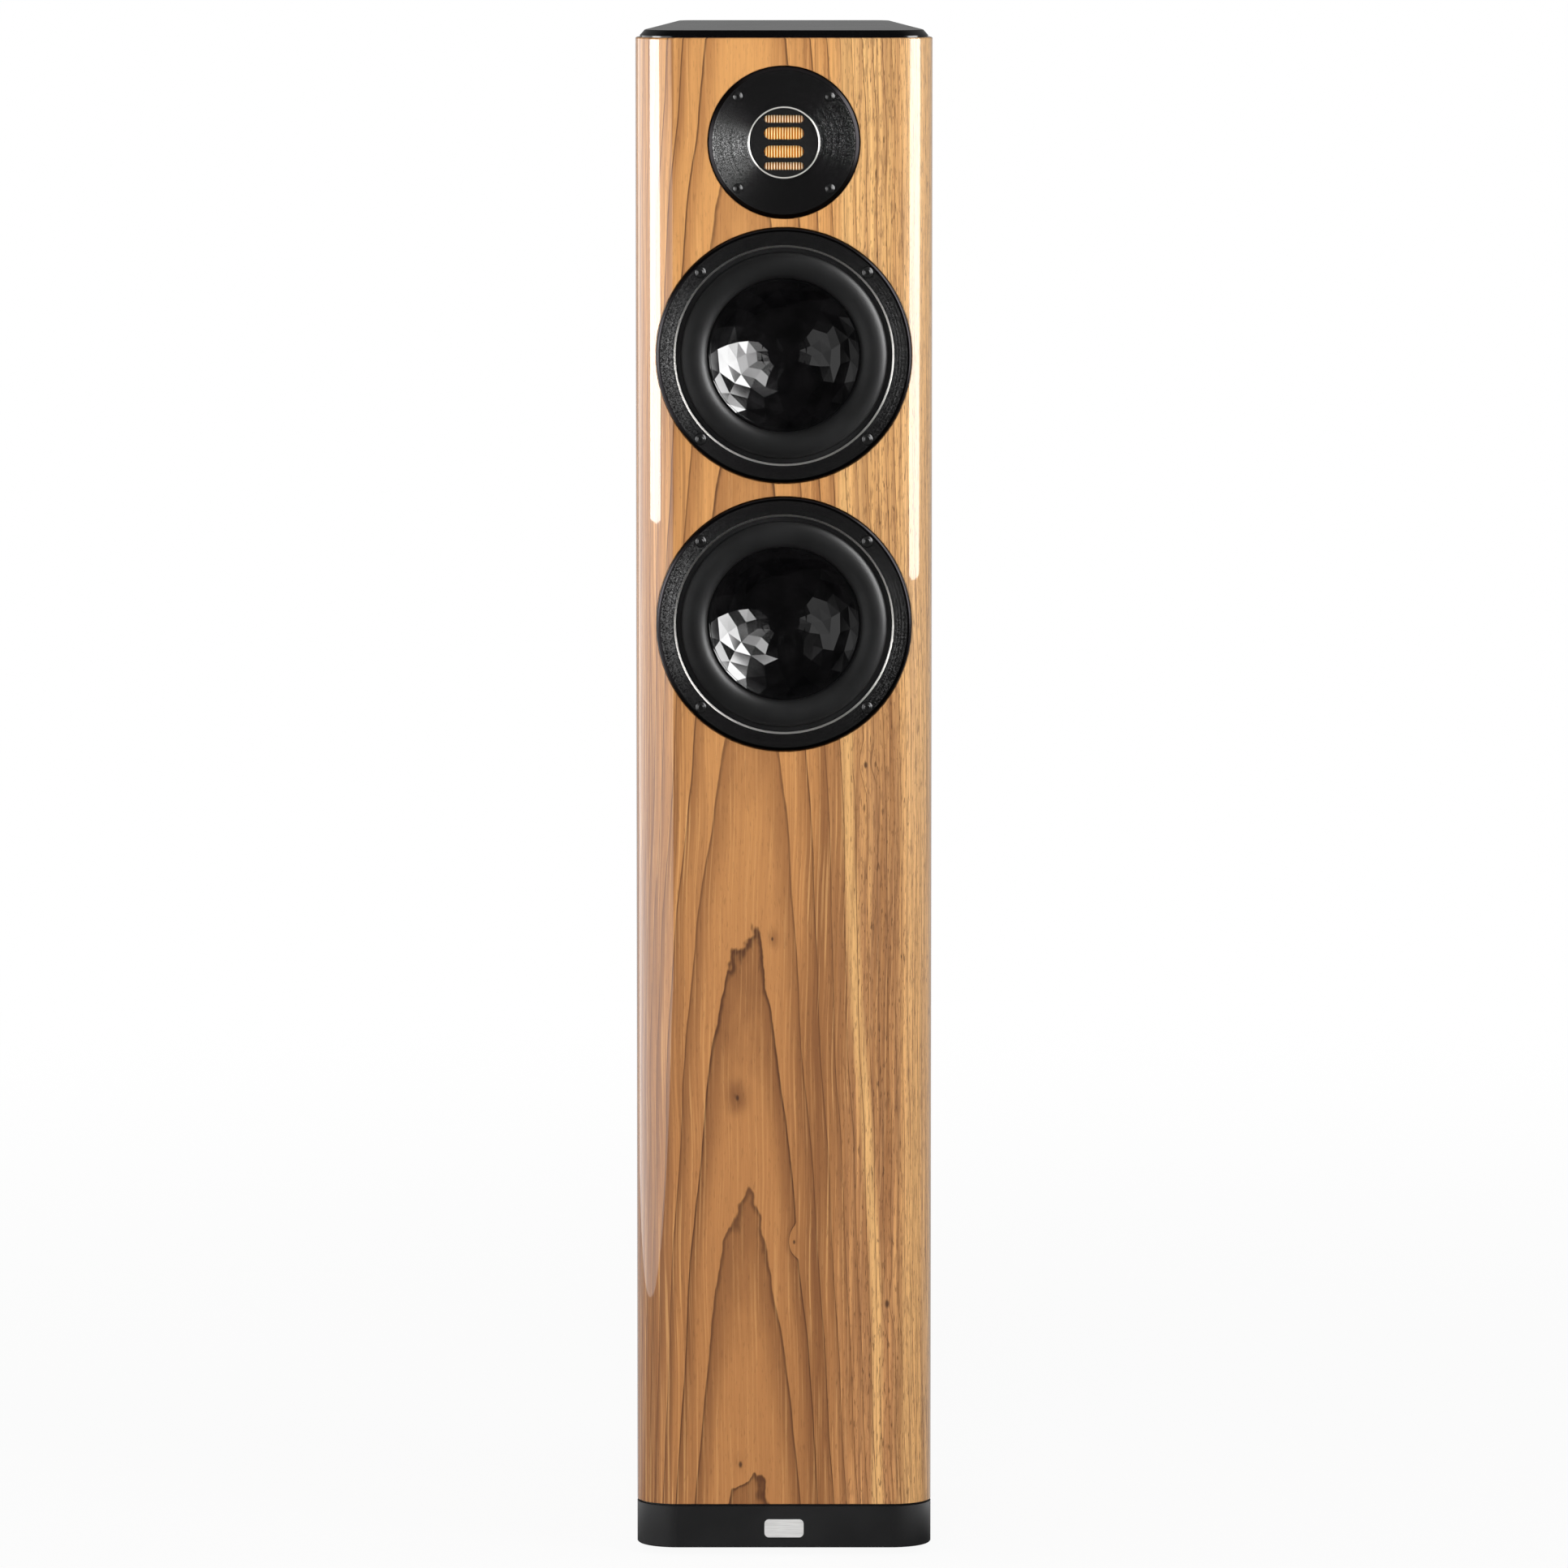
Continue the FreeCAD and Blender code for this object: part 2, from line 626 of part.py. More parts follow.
# ------------------------------------------------------------------ woofer, in its own frame
dish_r = cone_r - CONE_RIM
dish_bottom_u = CONE_RIM_U + CONE_DEPTH
dish_sphere_r = (dish_r ** 2 + CONE_DEPTH ** 2) / (2 * CONE_DEPTH)
dish_centre_u = dish_bottom_u - dish_sphere_r
front_plate_end = BASKET_SEAT_U + FRONT_PLATE_T
magnet_end = front_plate_end + MAGNET_T


def dish_u(r, sphere_r):
    """Depth of a spherical dish at a radius."""
    return dish_centre_u + math.sqrt(sphere_r ** 2 - r ** 2)


def basket():
    """Cast frame: bevelled flange, spoked body, spider ledge and magnet seat."""
    front = -FLANGE_PROUD
    round_u = front + FLANGE_ROUND
    round_r = flange_r - FLANGE_ROUND
    mid = FLANGE_ROUND * math.cos(math.pi / 4)
    profile = [
        (mouth_r + MOUTH_CHAMFER, front),
        (round_r, front),
        (round_r + mid, round_u - mid, flange_r, round_u),
        (flange_r, flange_back),
        (BASKET_R, flange_back),
        (BASKET_R, 9.0),
        (ledge_out_r + 3.0, SPIDER_LEDGE_U + 2.0),
        (ledge_in_r + 3.0, BASKET_SEAT_U),
        (seat_hole_r, BASKET_SEAT_U),
        (seat_hole_r, BASKET_SEAT_U - BASKET_SEAT_T),
        (ledge_in_r, BASKET_SEAT_U - BASKET_SEAT_T),
        (ledge_in_r, SPIDER_LEDGE_U),
        (ledge_out_r, SPIDER_LEDGE_U),
        (ledge_out_r, SPIDER_LEDGE_U - 1.5),
        (throat_r, 8.0),
        (throat_r, LEDGE_U),
        (mouth_r, LEDGE_U),
        (mouth_r, front + MOUTH_CHAMFER),
    ]
    window_angle = 360.0 / SPOKES - SPOKE_ANGLE
    window_profile = [(40.0, 10.5), (80.0, 10.5), (80.0, 34.0), (40.0, 34.0)]
    cuts = []
    for k in range(SPOKES):
        cuts.append(turned(window_profile, 360.0 / SPOKES * k + SPOKE_ANGLE / 2, window_angle))
    recess = rod(WOOFER_HEAD_R + HEAD_CLEARANCE, front - 1, WOOFER_HEAD_FLOOR_U)
    hole = rod(WOOFER_SCREW_R + SCREW_CLEARANCE, front - 1, flange_back + 1)
    cuts += on_circle(recess, screw_circle_r, SCREW_ANGLES)
    cuts += on_circle(hole, screw_circle_r, SCREW_ANGLES)
    return without(turned(profile), cuts)


def surround():
    """Half-roll: flat landing on the basket's ledge, a roll that stands forward, a lap behind the rim."""
    landing_u = LEDGE_U - SURROUND_T
    rim_back = CONE_RIM_U + CONE_T
    lap_r = dish_r + RIM_LAP_STEP
    apex_r = (roll_in_r + roll_out_r) / 2
    profile = [
        (lap_r, rim_back),
        (roll_in_r, rim_back),
        (roll_in_r, LEDGE_U),
        (apex_r, roll_apex_u, roll_out_r, landing_u),
        (landing_r, landing_u),
        (landing_r, LEDGE_U),
        (roll_out_r - SURROUND_T, LEDGE_U),
        (apex_r, roll_apex_u + SURROUND_T, roll_in_r + SURROUND_T, LEDGE_U + SURROUND_T),
        (roll_in_r + SURROUND_T, rim_back + SURROUND_T),
        (lap_r, rim_back + SURROUND_T),
    ]
    return turned(profile)


def cone():
    """Dished diaphragm with a flat rim and a collar for the voice coil on its back."""
    back_sphere_r = dish_sphere_r + CONE_T
    rim_back = CONE_RIM_U + CONE_T
    back_edge_r = math.sqrt(back_sphere_r ** 2 - (rim_back - dish_centre_u) ** 2)
    profile = [
        (0.0, dish_bottom_u),
        (dish_r / 2, dish_u(dish_r / 2, dish_sphere_r), dish_r, CONE_RIM_U),
        (cone_r, CONE_RIM_U),
        (cone_r, rim_back),
        (back_edge_r, rim_back),
        (dish_r / 2, dish_u(dish_r / 2, back_sphere_r), 0.0, dish_bottom_u + CONE_T),
    ]
    collar_in = COIL_R - CONE_COLLAR_T
    collar_out = former_r + CONE_COLLAR_T
    collar_start = dish_u(COIL_R, dish_sphere_r + CONE_T / 2)
    return joined([turned(profile), ring(collar_out, collar_in, collar_start, CONE_COLLAR_END_U)])


def voice_coil():
    middle = BASKET_SEAT_U + FRONT_PLATE_T / 2
    start = middle - WINDING_LENGTH / 2
    end = middle + WINDING_LENGTH / 2
    top = CONE_COLLAR_END_U
    return turned([(COIL_R, top), (former_r, top), (former_r, start), (coil_r, start), (coil_r, end), (COIL_R, end)])


def spider():
    """Corrugated disc from the coil former to its ledge in the basket."""
    neck_r = former_r + RIM_CLEARANCE
    flat_u = SPIDER_LEDGE_U - SPIDER_T
    first_r = former_r + SPIDER_NECK
    waves = 2 * SPIDER_WAVES
    step = (ledge_in_r - SPIDER_FOOT - first_r) / waves
    crests = []
    for k in range(waves + 1):
        lift = SPIDER_WAVE_H if k % 2 else -SPIDER_WAVE_H
        crests.append((first_r + k * step, flat_u + lift))
    front = [(neck_r, flat_u)] + crests + [(ledge_in_r + RIM_CLEARANCE, flat_u), (ledge_out_r - 0.5, flat_u)]
    back = [(r, u + SPIDER_T) for r, u in reversed(front)]
    return turned(front + back)


def motor_steel():
    """Front plate, and the yoke: back plate and vented pole in one."""
    front_plate = ring(front_plate_r, coil_r + COIL_GAP, BASKET_SEAT_U, front_plate_end)
    pole_r = COIL_R - POLE_GAP
    yoke_r = front_plate_r + YOKE_OVERHANG
    yoke_end = magnet_end + YOKE_T
    yoke = turned([(VENT_R, BASKET_SEAT_U), (pole_r, BASKET_SEAT_U), (pole_r, magnet_end), (yoke_r, magnet_end),
                   (yoke_r, yoke_end), (VENT_R, yoke_end)])
    return group([front_plate, yoke])


def magnet():
    return ring(magnet_r, coil_r + MAGNET_ROOM, front_plate_end, magnet_end)


def woofer_screws():
    screw = socket_screw(WOOFER_HEAD_R, WOOFER_HEAD_H, WOOFER_SCREW_R, WOOFER_SCREW_LENGTH, WOOFER_SOCKET_AF)
    screw.translate(V(0, 0, WOOFER_HEAD_FLOOR_U))
    return on_circle(screw, screw_circle_r, SCREW_ANGLES)


def terminal_strip():
    """Insulating block on the basket's back rim, with two solder tabs that point up."""
    half = STRIP_W / 2
    parts = [box(-half, half, -strip_out_r, -strip_in_r, BASKET_SEAT_U, BASKET_SEAT_U + STRIP_H)]
    tab_u = BASKET_SEAT_U + STRIP_H / 2
    for side in (-1, 1):
        x0 = side * TAB_X - TAB_W / 2
        tab_end = -strip_out_r - TAB_LENGTH
        parts.append(box(x0, x0 + TAB_W, tab_end, -strip_in_r, tab_u, tab_u + TAB_T))
    return joined(parts)


def gasket(r_out, r_in, z0, circle_r, hole_r):
    holes = on_circle(rod(hole_r, z0 - 1, z0 + GASKET_T + 1), circle_r, SCREW_ANGLES)
    return without(ring(r_out, r_in, z0, z0 + GASKET_T), holes)


def woofer_gasket():
    inner = BASKET_R + CUTOUT_CLEARANCE + FLANGE_GAP
    return gasket(flange_r - FLANGE_GAP, inner, flange_back, screw_circle_r, WOOFER_SCREW_R + SCREW_CLEARANCE)


# ------------------------------------------------------------------ tweeter, in its own frame
pole_plate_back = TWEETER_BACK_U + POLE_PLATE_T
frame_back = pole_plate_back + FRAME_T
rear_plate_back = frame_back + POLE_PLATE_T


def slot_cutters(z0, z1):
    """Round-ended slots, one above another."""
    cutters = []
    for height, width in SLOTS:
        end = (SLOT_LENGTH - width) / 2
        cutters.append(box(-end, end, -height - width / 2, -height + width / 2, z0, z1))
        cutters.append(rod(width / 2, z0, z1, -end, -height))
        cutters.append(rod(width / 2, z0, z1, end, -height))
    return cutters


def tweeter_faceplate():
    bore_r = RING_R + 0.1
    profile = [
        (bore_r, -TWEETER_RING_PROUD),
        (TWEETER_EDGE_R, -TWEETER_EDGE_PROUD),
        (TWEETER_R, TWEETER_BEVEL_END_U),
        (TWEETER_R, TWEETER_BACK_U),
        (GRILLE_R + 0.1, TWEETER_BACK_U),
        (GRILLE_R + 0.1, RING_SEAT_U),
        (bore_r, RING_SEAT_U),
    ]
    recess = rod(TWEETER_HEAD_R + HEAD_CLEARANCE, -TWEETER_RING_PROUD, TWEETER_HEAD_FLOOR_U)
    hole = rod(TWEETER_SCREW_R + SCREW_CLEARANCE, -TWEETER_RING_PROUD, TWEETER_BACK_U + 1)
    cuts = on_circle(recess, TWEETER_SCREW_CIRCLE_R, SCREW_ANGLES)
    cuts += on_circle(hole, TWEETER_SCREW_CIRCLE_R, SCREW_ANGLES)
    return without(turned(profile), cuts)


def tweeter_trim_ring():
    return ring(RING_R, RING_R - RING_W, -RING_PROUD, RING_SEAT_U)


def tweeter_front_pole_plate():
    solid = joined([rod(GRILLE_R, -GRILLE_PROUD, TWEETER_BACK_U), rod(POLE_PLATE_R, TWEETER_BACK_U, pole_plate_back)])
    return without(solid, slot_cutters(-GRILLE_PROUD - 1, pole_plate_back + 1))


def tweeter_membrane():
    """Thin sheet folded into upright pleats, stretched across its frame."""
    step = MEMBRANE_W / (2 * PLEATS)
    near = pole_plate_back + PLEAT_INSET
    front = []
    for k in range(2 * PLEATS + 1):
        depth = PLEAT_DEPTH if k % 2 else 0.0
        front.append((-MEMBRANE_W / 2 + k * step, near + depth))
    back = [(x, u + PLEAT_SHEET) for x, u in reversed(front)]
    points = [V(x, -MEMBRANE_H / 2, u) for x, u in front + back]
    return Part.Face(Part.makePolygon(points + points[:1])).extrude(V(0, MEMBRANE_H, 0))


def tweeter_membrane_frame():
    outer = rounded_plate(FRAME_W, FRAME_H, 1.0, pole_plate_back, frame_back)
    half_w = MEMBRANE_W / 2
    half_h = MEMBRANE_H / 2
    return outer.cut(box(-half_w, half_w, -half_h, half_h, pole_plate_back - 1, frame_back + 1))


def tweeter_magnets():
    half = BAR_MAGNET_H / 2
    bars = []
    for side in (-1, 1):
        x0, x1 = sorted((side * BAR_MAGNET_X, side * (BAR_MAGNET_X + BAR_MAGNET_W)))
        bars.append(box(x0, x1, -half, half, pole_plate_back, frame_back))
    return group(bars)


def tweeter_rear_pole_plate():
    return without(rod(POLE_PLATE_R, frame_back, rear_plate_back), slot_cutters(frame_back - 1, rear_plate_back + 1))


def tweeter_rear_chamber():
    end = rear_plate_back + CHAMBER_DEPTH
    inner_r = CHAMBER_R - CHAMBER_WALL
    return rod(CHAMBER_R, rear_plate_back, end).cut(rod(inner_r, rear_plate_back, end - CHAMBER_WALL))


def tweeter_screws():
    screw = socket_screw(TWEETER_HEAD_R, TWEETER_HEAD_H, TWEETER_SCREW_R, TWEETER_SCREW_LENGTH, TWEETER_SOCKET_AF)
    screw.translate(V(0, 0, TWEETER_HEAD_FLOOR_U))
    return on_circle(screw, TWEETER_SCREW_CIRCLE_R, SCREW_ANGLES)


def tweeter_gasket():
    outer = TWEETER_R - FLANGE_GAP
    inner = POLE_PLATE_R + CUTOUT_CLEARANCE + FLANGE_GAP
    hole_r = TWEETER_SCREW_R + SCREW_CLEARANCE
    return gasket(outer, inner, TWEETER_BACK_U, TWEETER_SCREW_CIRCLE_R, hole_r)


# ------------------------------------------------------------------ rear, in a frame whose +Z leaves the back
def port_tube():
    """Reflex port: flared mouth, flange sunk in the back, hub and tube."""
    flare_r = PORT_R + PORT_FLARE_R
    flare_end = PORT_FLANGE_PROUD - PORT_FLARE_R
    mid = PORT_FLARE_R * math.cos(math.pi / 4)
    tube_r = PORT_R + PORT_WALL
    hub_end = -PORT_FLANGE_SINK - PORT_HUB_LENGTH
    profile = [
        (PORT_R, flare_end),
        (flare_r - mid, flare_end + mid, flare_r, PORT_FLANGE_PROUD),
        (PORT_FLANGE_R - PORT_FLANGE_PROUD, PORT_FLANGE_PROUD),
        (PORT_FLANGE_R, 0.0),
        (PORT_FLANGE_R, -PORT_FLANGE_SINK),
        (PORT_HUB_R, -PORT_FLANGE_SINK),
        (PORT_HUB_R, hub_end),
        (tube_r, hub_end - (PORT_HUB_R - tube_r)),
        (tube_r, -PORT_LENGTH),
        (PORT_R, -PORT_LENGTH),
    ]
    return on_back(turned(profile), port_z)


def plate_screw_places():
    return [(sx * PLATE_SCREW_X, TERMINAL_Z + sz * PLATE_SCREW_Z) for sx in (-1, 1) for sz in (-1, 1)]


def terminal_plate():
    solid = rounded_plate(TERMINAL_PLATE_W, TERMINAL_PLATE_H, TERMINAL_PLATE_R, 0, TERMINAL_PLATE_T)
    cuts = []
    for side in (-1, 1):
        cuts.append(rod(POST_TAIL_R + POST_TAIL_CLEARANCE, -1, TERMINAL_PLATE_T + 1, side * POST_X))
    plate = on_back(without(solid, cuts), TERMINAL_Z)
    hole = rod(PLATE_SCREW_R + SCREW_CLEARANCE, -1, TERMINAL_PLATE_T + 1)
    return without(plate, [on_back(hole, z, x) for x, z in plate_screw_places()])


def terminal_posts():
    flange_end = TERMINAL_PLATE_T + POST_FLANGE_T
    posts = []
    for side in (-1, 1):
        parts = [rod(POST_TAIL_R, -POST_TAIL_LENGTH, TERMINAL_PLATE_T)]
        parts.append(rod(POST_FLANGE_R, TERMINAL_PLATE_T, flange_end))
        parts.append(rod(POST_ROD_R, flange_end, knob_end))
        post = joined(parts).cut(rod(SOCKET_R, knob_end - SOCKET_DEPTH, knob_end + 1))
        posts.append(on_back(post, TERMINAL_Z, side * POST_X))
    return group(posts)


def terminal_nuts():
    nuts = []
    for side in (-1, 1):
        nut = hexagon(NUT_AF, -NUT_T, 0).cut(rod(POST_TAIL_R + THREAD_CLEARANCE, -NUT_T - 1, 1))
        nuts.append(on_back(nut, TERMINAL_Z, side * POST_X))
    return group(nuts)


def terminal_washer(side):
    """Coloured ring that slides on the post between its flange and the knob."""
    start = TERMINAL_PLATE_T + POST_FLANGE_T
    solid = ring(COLOUR_WASHER_R, POST_ROD_R + THREAD_CLEARANCE, start, start + COLOUR_WASHER_T)
    return on_back(solid, TERMINAL_Z, side * POST_X)


def terminal_knob(side):
    """Fluted clamping knob, threaded on the post and open at its end for a plug."""
    start = TERMINAL_PLATE_T + POST_FLANGE_T + COLOUR_WASHER_T
    solid = ring(KNOB_R, POST_ROD_R + THREAD_CLEARANCE, start, knob_end)
    flute = rod(KNOB_FLUTE_R, start + COLOUR_WASHER_T, knob_end + 1)
    angles = [360.0 / KNOB_FLUTES * k for k in range(KNOB_FLUTES)]
    solid = without(solid, on_circle(flute, KNOB_R + KNOB_FLUTE_R / 3, angles))
    return on_back(solid, TERMINAL_Z, side * POST_X)


def terminal_screws():
    screws = []
    for x, z in plate_screw_places():
        screw = socket_screw(PLATE_SCREW_HEAD_R, PLATE_SCREW_HEAD_H, PLATE_SCREW_R, PLATE_SCREW_LENGTH,
                             PLATE_SCREW_SOCKET_AF)
        screw.rotate(V(0, 0, 0), V(1, 0, 0), 180)
        screw.translate(V(0, 0, TERMINAL_PLATE_T))
        screws.append(on_back(screw, z, x))
    return group(screws)


# ------------------------------------------------------------------ crossover and wiring
board_bottom = floor_of_box + STANDOFF_H
board_top = board_bottom + BOARD_T


def standoff_places():
    x = BOARD_W / 2 - STANDOFF_INSET
    ys = (BOARD_Y + STANDOFF_INSET, BOARD_Y + BOARD_LENGTH - STANDOFF_INSET)
    return [(side * x, y) for side in (-1, 1) for y in ys]


def crossover_board():
    half = BOARD_W / 2
    return box(-half, half, BOARD_Y, BOARD_Y + BOARD_LENGTH, board_bottom, board_top)


def crossover_standoffs():
    return group([rod(STANDOFF_R, floor_of_box, board_bottom, x, y) for x, y in standoff_places()])


def crossover_inductors():
    return group([ring(r_out, r_in, board_top, board_top + height, x, y) for x, y, r_out, r_in, height in COIL_PLACES])


def crossover_capacitors():
    cans = []
    for x, y in CAPACITOR_PLACES:
        axis_z = board_top + CAPACITOR_R - CAPACITOR_FLAT
        can = Part.makeCylinder(CAPACITOR_R, CAPACITOR_LENGTH, V(x - CAPACITOR_LENGTH / 2, y, axis_z), V(1, 0, 0))
        below = box(x - CAPACITOR_LENGTH, x + CAPACITOR_LENGTH, y - CAPACITOR_R, y + CAPACITOR_R, board_bottom, board_top)
        cans.append(can.cut(below))
    return group(cans)


def crossover_resistors():
    size_x, size_y, size_z = RESISTOR_SIZE
    return group([box(x - size_x / 2, x + size_x / 2, y - size_y / 2, y + size_y / 2, board_top, board_top + size_z)
                  for x, y in RESISTOR_PLACES])


def wire(points):
    """Round wire along straight runs joined by equal bends."""
    path = rounded_path(points, [WIRE_BEND_R] * len(points), False)
    along = (points[1] - points[0]).normalize()
    section = Part.Wire(Part.makeCircle(WIRE_R, points[0], along))
    return path.makePipeShell([section], True, False)


def internal_wiring():
    """Pairs drawn as one wire each: board to every driver, and board to both posts."""
    wires = []
    tab_y = BASKET_SEAT_U + STRIP_H / 2 + TAB_T / 2
    for z, run_x in zip((lower_woofer_z, upper_woofer_z), WIRE_RUN_X):
        tab_end = z + strip_out_r + TAB_LENGTH
        over = tab_end + WIRE_OVER
        wires.append(wire([V(run_x, WIRE_RUN_Y, board_top), V(run_x, WIRE_RUN_Y, over), V(TAB_X, tab_y, over),
                           V(TAB_X, tab_y, tab_end)]))
    chamber_end = rear_plate_back + CHAMBER_DEPTH
    run_x = WIRE_RUN_X[2]
    wires.append(wire([V(run_x, WIRE_RUN_Y, board_top), V(run_x, WIRE_RUN_Y, tweeter_z),
                       V(TAB_X, WIRE_RUN_Y - 30, tweeter_z), V(TAB_X, chamber_end, tweeter_z)]))
    tail_end = CABINET_DEPTH - POST_TAIL_LENGTH
    for side in (-1, 1):
        x = side * POST_X
        turn_y = tail_end - WIRE_BACK
        wires.append(wire([V(x, tail_end, TERMINAL_Z), V(x, turn_y, TERMINAL_Z), V(x, turn_y, board_top)]))
    return group(wires)


# ------------------------------------------------------------------ all the nodes
def all_nodes():
    nodes = {
        "cabinet_shell": cabinet_shell(),
        "back_panel": back_panel(),
        "top_panel": top_panel(),
        "bottom_panel": bottom_panel(),
        "window_braces": window_braces(),
        "damping_wadding": damping_wadding(),
        "top_plate": top_plate(),
        "base_plinth": base_plinth(),
        "plinth_spacer": plinth_spacer(),
        "plinth_bolts": plinth_bolts(),
        "name_badge": name_badge(),
        "port_tube": port_tube(),
        "terminal_plate": terminal_plate(),
        "terminal_posts": terminal_posts(),
        "terminal_nuts": terminal_nuts(),
        "terminal_screws": terminal_screws(),
        "crossover_board": crossover_board(),
        "crossover_standoffs": crossover_standoffs(),
        "crossover_inductors": crossover_inductors(),
        "crossover_capacitors": crossover_capacitors(),
        "crossover_resistors": crossover_resistors(),
        "internal_wiring": internal_wiring(),
    }
    woofer = {
        "basket": basket(),
        "surround": surround(),
        "cone": cone(),
        "voice_coil": voice_coil(),
        "spider": spider(),
        "motor_steel": motor_steel(),
        "magnet": magnet(),
    }
    for which, z in woofer_heights.items():
        for name, shape in woofer.items():
            nodes[f"{which}_woofer_{name}"] = on_baffle(shape, z)
    heights = list(woofer_heights.values())
    nodes["woofer_screws"] = group([on_baffle(screw, z) for z in heights for screw in woofer_screws()])
    nodes["woofer_terminal_strips"] = group([on_baffle(terminal_strip(), z) for z in heights])
    gaskets = [on_baffle(woofer_gasket(), z) for z in heights] + [on_baffle(tweeter_gasket(), tweeter_z)]
    nodes["driver_gaskets"] = group(gaskets)
    tweeter = {
        "tweeter_faceplate": tweeter_faceplate(),
        "tweeter_trim_ring": tweeter_trim_ring(),
        "tweeter_front_pole_plate": tweeter_front_pole_plate(),
        "tweeter_membrane": tweeter_membrane(),
        "tweeter_membrane_frame": tweeter_membrane_frame(),
        "tweeter_magnets": tweeter_magnets(),
        "tweeter_rear_pole_plate": tweeter_rear_pole_plate(),
        "tweeter_rear_chamber": tweeter_rear_chamber(),
        "tweeter_screws": group(tweeter_screws()),
    }
    for name, shape in tweeter.items():
        nodes[name] = on_baffle(shape, tweeter_z)
    for place, (x, y) in foot_places().items():
        nodes[f"foot_pad_{place}"] = foot_pad(x, y)
        nodes[f"foot_stud_{place}"] = foot_stud(x, y)
    for colour, side in (("red", 1), ("black", -1)):
        nodes[f"terminal_washer_{colour}"] = terminal_washer(side)
        nodes[f"terminal_knob_{colour}"] = terminal_knob(side)
    return nodes


os.makedirs("parts", exist_ok=True)
for node, shape in all_nodes().items():
    placed = shape.copy()
    placed.translate(V(0, front_y, 0))
    placed.exportStep(f"parts/{node}.step")
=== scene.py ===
import math

import bmesh
import bpy
import numpy as np
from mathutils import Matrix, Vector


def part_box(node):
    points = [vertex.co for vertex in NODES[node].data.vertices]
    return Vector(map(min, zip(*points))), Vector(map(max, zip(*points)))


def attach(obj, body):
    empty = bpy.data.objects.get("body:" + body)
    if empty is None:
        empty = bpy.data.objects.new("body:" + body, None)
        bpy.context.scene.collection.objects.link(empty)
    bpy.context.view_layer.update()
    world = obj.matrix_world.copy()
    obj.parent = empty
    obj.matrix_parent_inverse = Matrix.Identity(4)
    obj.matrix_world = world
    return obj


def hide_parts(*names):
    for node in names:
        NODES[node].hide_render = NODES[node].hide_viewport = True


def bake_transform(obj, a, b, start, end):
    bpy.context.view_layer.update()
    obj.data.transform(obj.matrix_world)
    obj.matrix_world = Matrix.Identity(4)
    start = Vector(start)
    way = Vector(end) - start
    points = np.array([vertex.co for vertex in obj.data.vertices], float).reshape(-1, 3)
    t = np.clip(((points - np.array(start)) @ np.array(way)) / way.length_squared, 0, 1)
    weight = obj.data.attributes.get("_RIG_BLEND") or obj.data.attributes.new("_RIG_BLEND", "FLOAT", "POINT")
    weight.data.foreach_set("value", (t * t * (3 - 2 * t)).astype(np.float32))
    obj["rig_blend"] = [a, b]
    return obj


# Looks of a slim floorstanding loudspeaker: walnut cabinet under clear lacquer, black gloss
# top plate, satin plinth, a folded-membrane tweeter and two woofers with faceted cones.
# Metres, +Z up, the front faces -Y. Depth u is measured back from the cabinet's front plane.

MM = 0.001

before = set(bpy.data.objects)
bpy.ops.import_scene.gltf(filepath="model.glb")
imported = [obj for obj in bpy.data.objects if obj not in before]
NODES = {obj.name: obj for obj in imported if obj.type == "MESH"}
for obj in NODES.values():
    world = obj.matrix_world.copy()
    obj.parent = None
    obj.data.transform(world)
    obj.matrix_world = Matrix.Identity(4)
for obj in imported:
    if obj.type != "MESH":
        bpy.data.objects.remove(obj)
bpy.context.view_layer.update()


def middle(node):
    """Middle of a CAD node's box."""
    low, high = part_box(node)
    return (low + high) / 2


# ------------------------------------------------------------------ sizes
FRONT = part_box("cabinet_shell")[0].y
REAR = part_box("cabinet_shell")[1].y
HALF_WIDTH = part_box("cabinet_shell")[1].x
SIDE_TAPER = math.radians(5)    # each side leans in to the rear
FRONT_CORNER = 28 * MM
REAR_CORNER = 18 * MM

TWEETER = middle("tweeter_faceplate")
WOOFERS = {side: middle(f"{side}_woofer_basket") for side in ("upper", "lower")}

MOUTH_R = 73.9 * MM             # basket's mouth, inside the bright chamfer
MOUTH_CHAMFER = 1.3 * MM
FLANGE_EDGE_R = (84.3 * MM, 84.8 * MM)      # where turned metal gives way to a plain rim
FACEPLATE_EDGE_R = (48.7 * MM, 49.1 * MM)
FLANGE_FACE_U = (-1.25 * MM, -1.15 * MM)    # the flange's face lies ahead of this depth
ROLL_IN_R = 52.6 * MM           # the rubber half-roll, from the cone out to the basket
ROLL_OUT_R = 70.9 * MM
ROLL_APEX_U = -5.4 * MM
LANDING_R = 73.7 * MM           # the rubber's outer edge, glued down on the basket's ledge
LEDGE_U = 1.4 * MM
RUBBER = 0.6 * MM
RIM_OUT_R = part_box("upper_woofer_cone")[1].x    # the cone's flat rim under the rubber
RIM_IN_R = 50.0 * MM
RIM_U = 2.4 * MM
RIM_ROUND = 0.25 * MM
LAP_R = RIM_IN_R + 0.9 * MM     # the rubber laps behind the rim down to here
CONE_T = 0.8 * MM
DISH_BOTTOM_U = 26.4 * MM
DISH_SPHERE = 64.08 * MM        # radius of the sphere that the dish is part of
COLLAR_R = (15.0 * MM, 17.3 * MM)       # inside and outside of the collar round the coil
COLLAR_END_U = 28.0 * MM
COLLAR_SUNK = 0.3 * MM          # the collar starts this far behind the dish's face
SPIDER_R = (16.6 * MM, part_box("upper_woofer_spider")[1].x)
SPIDER_U = 36.5 * MM


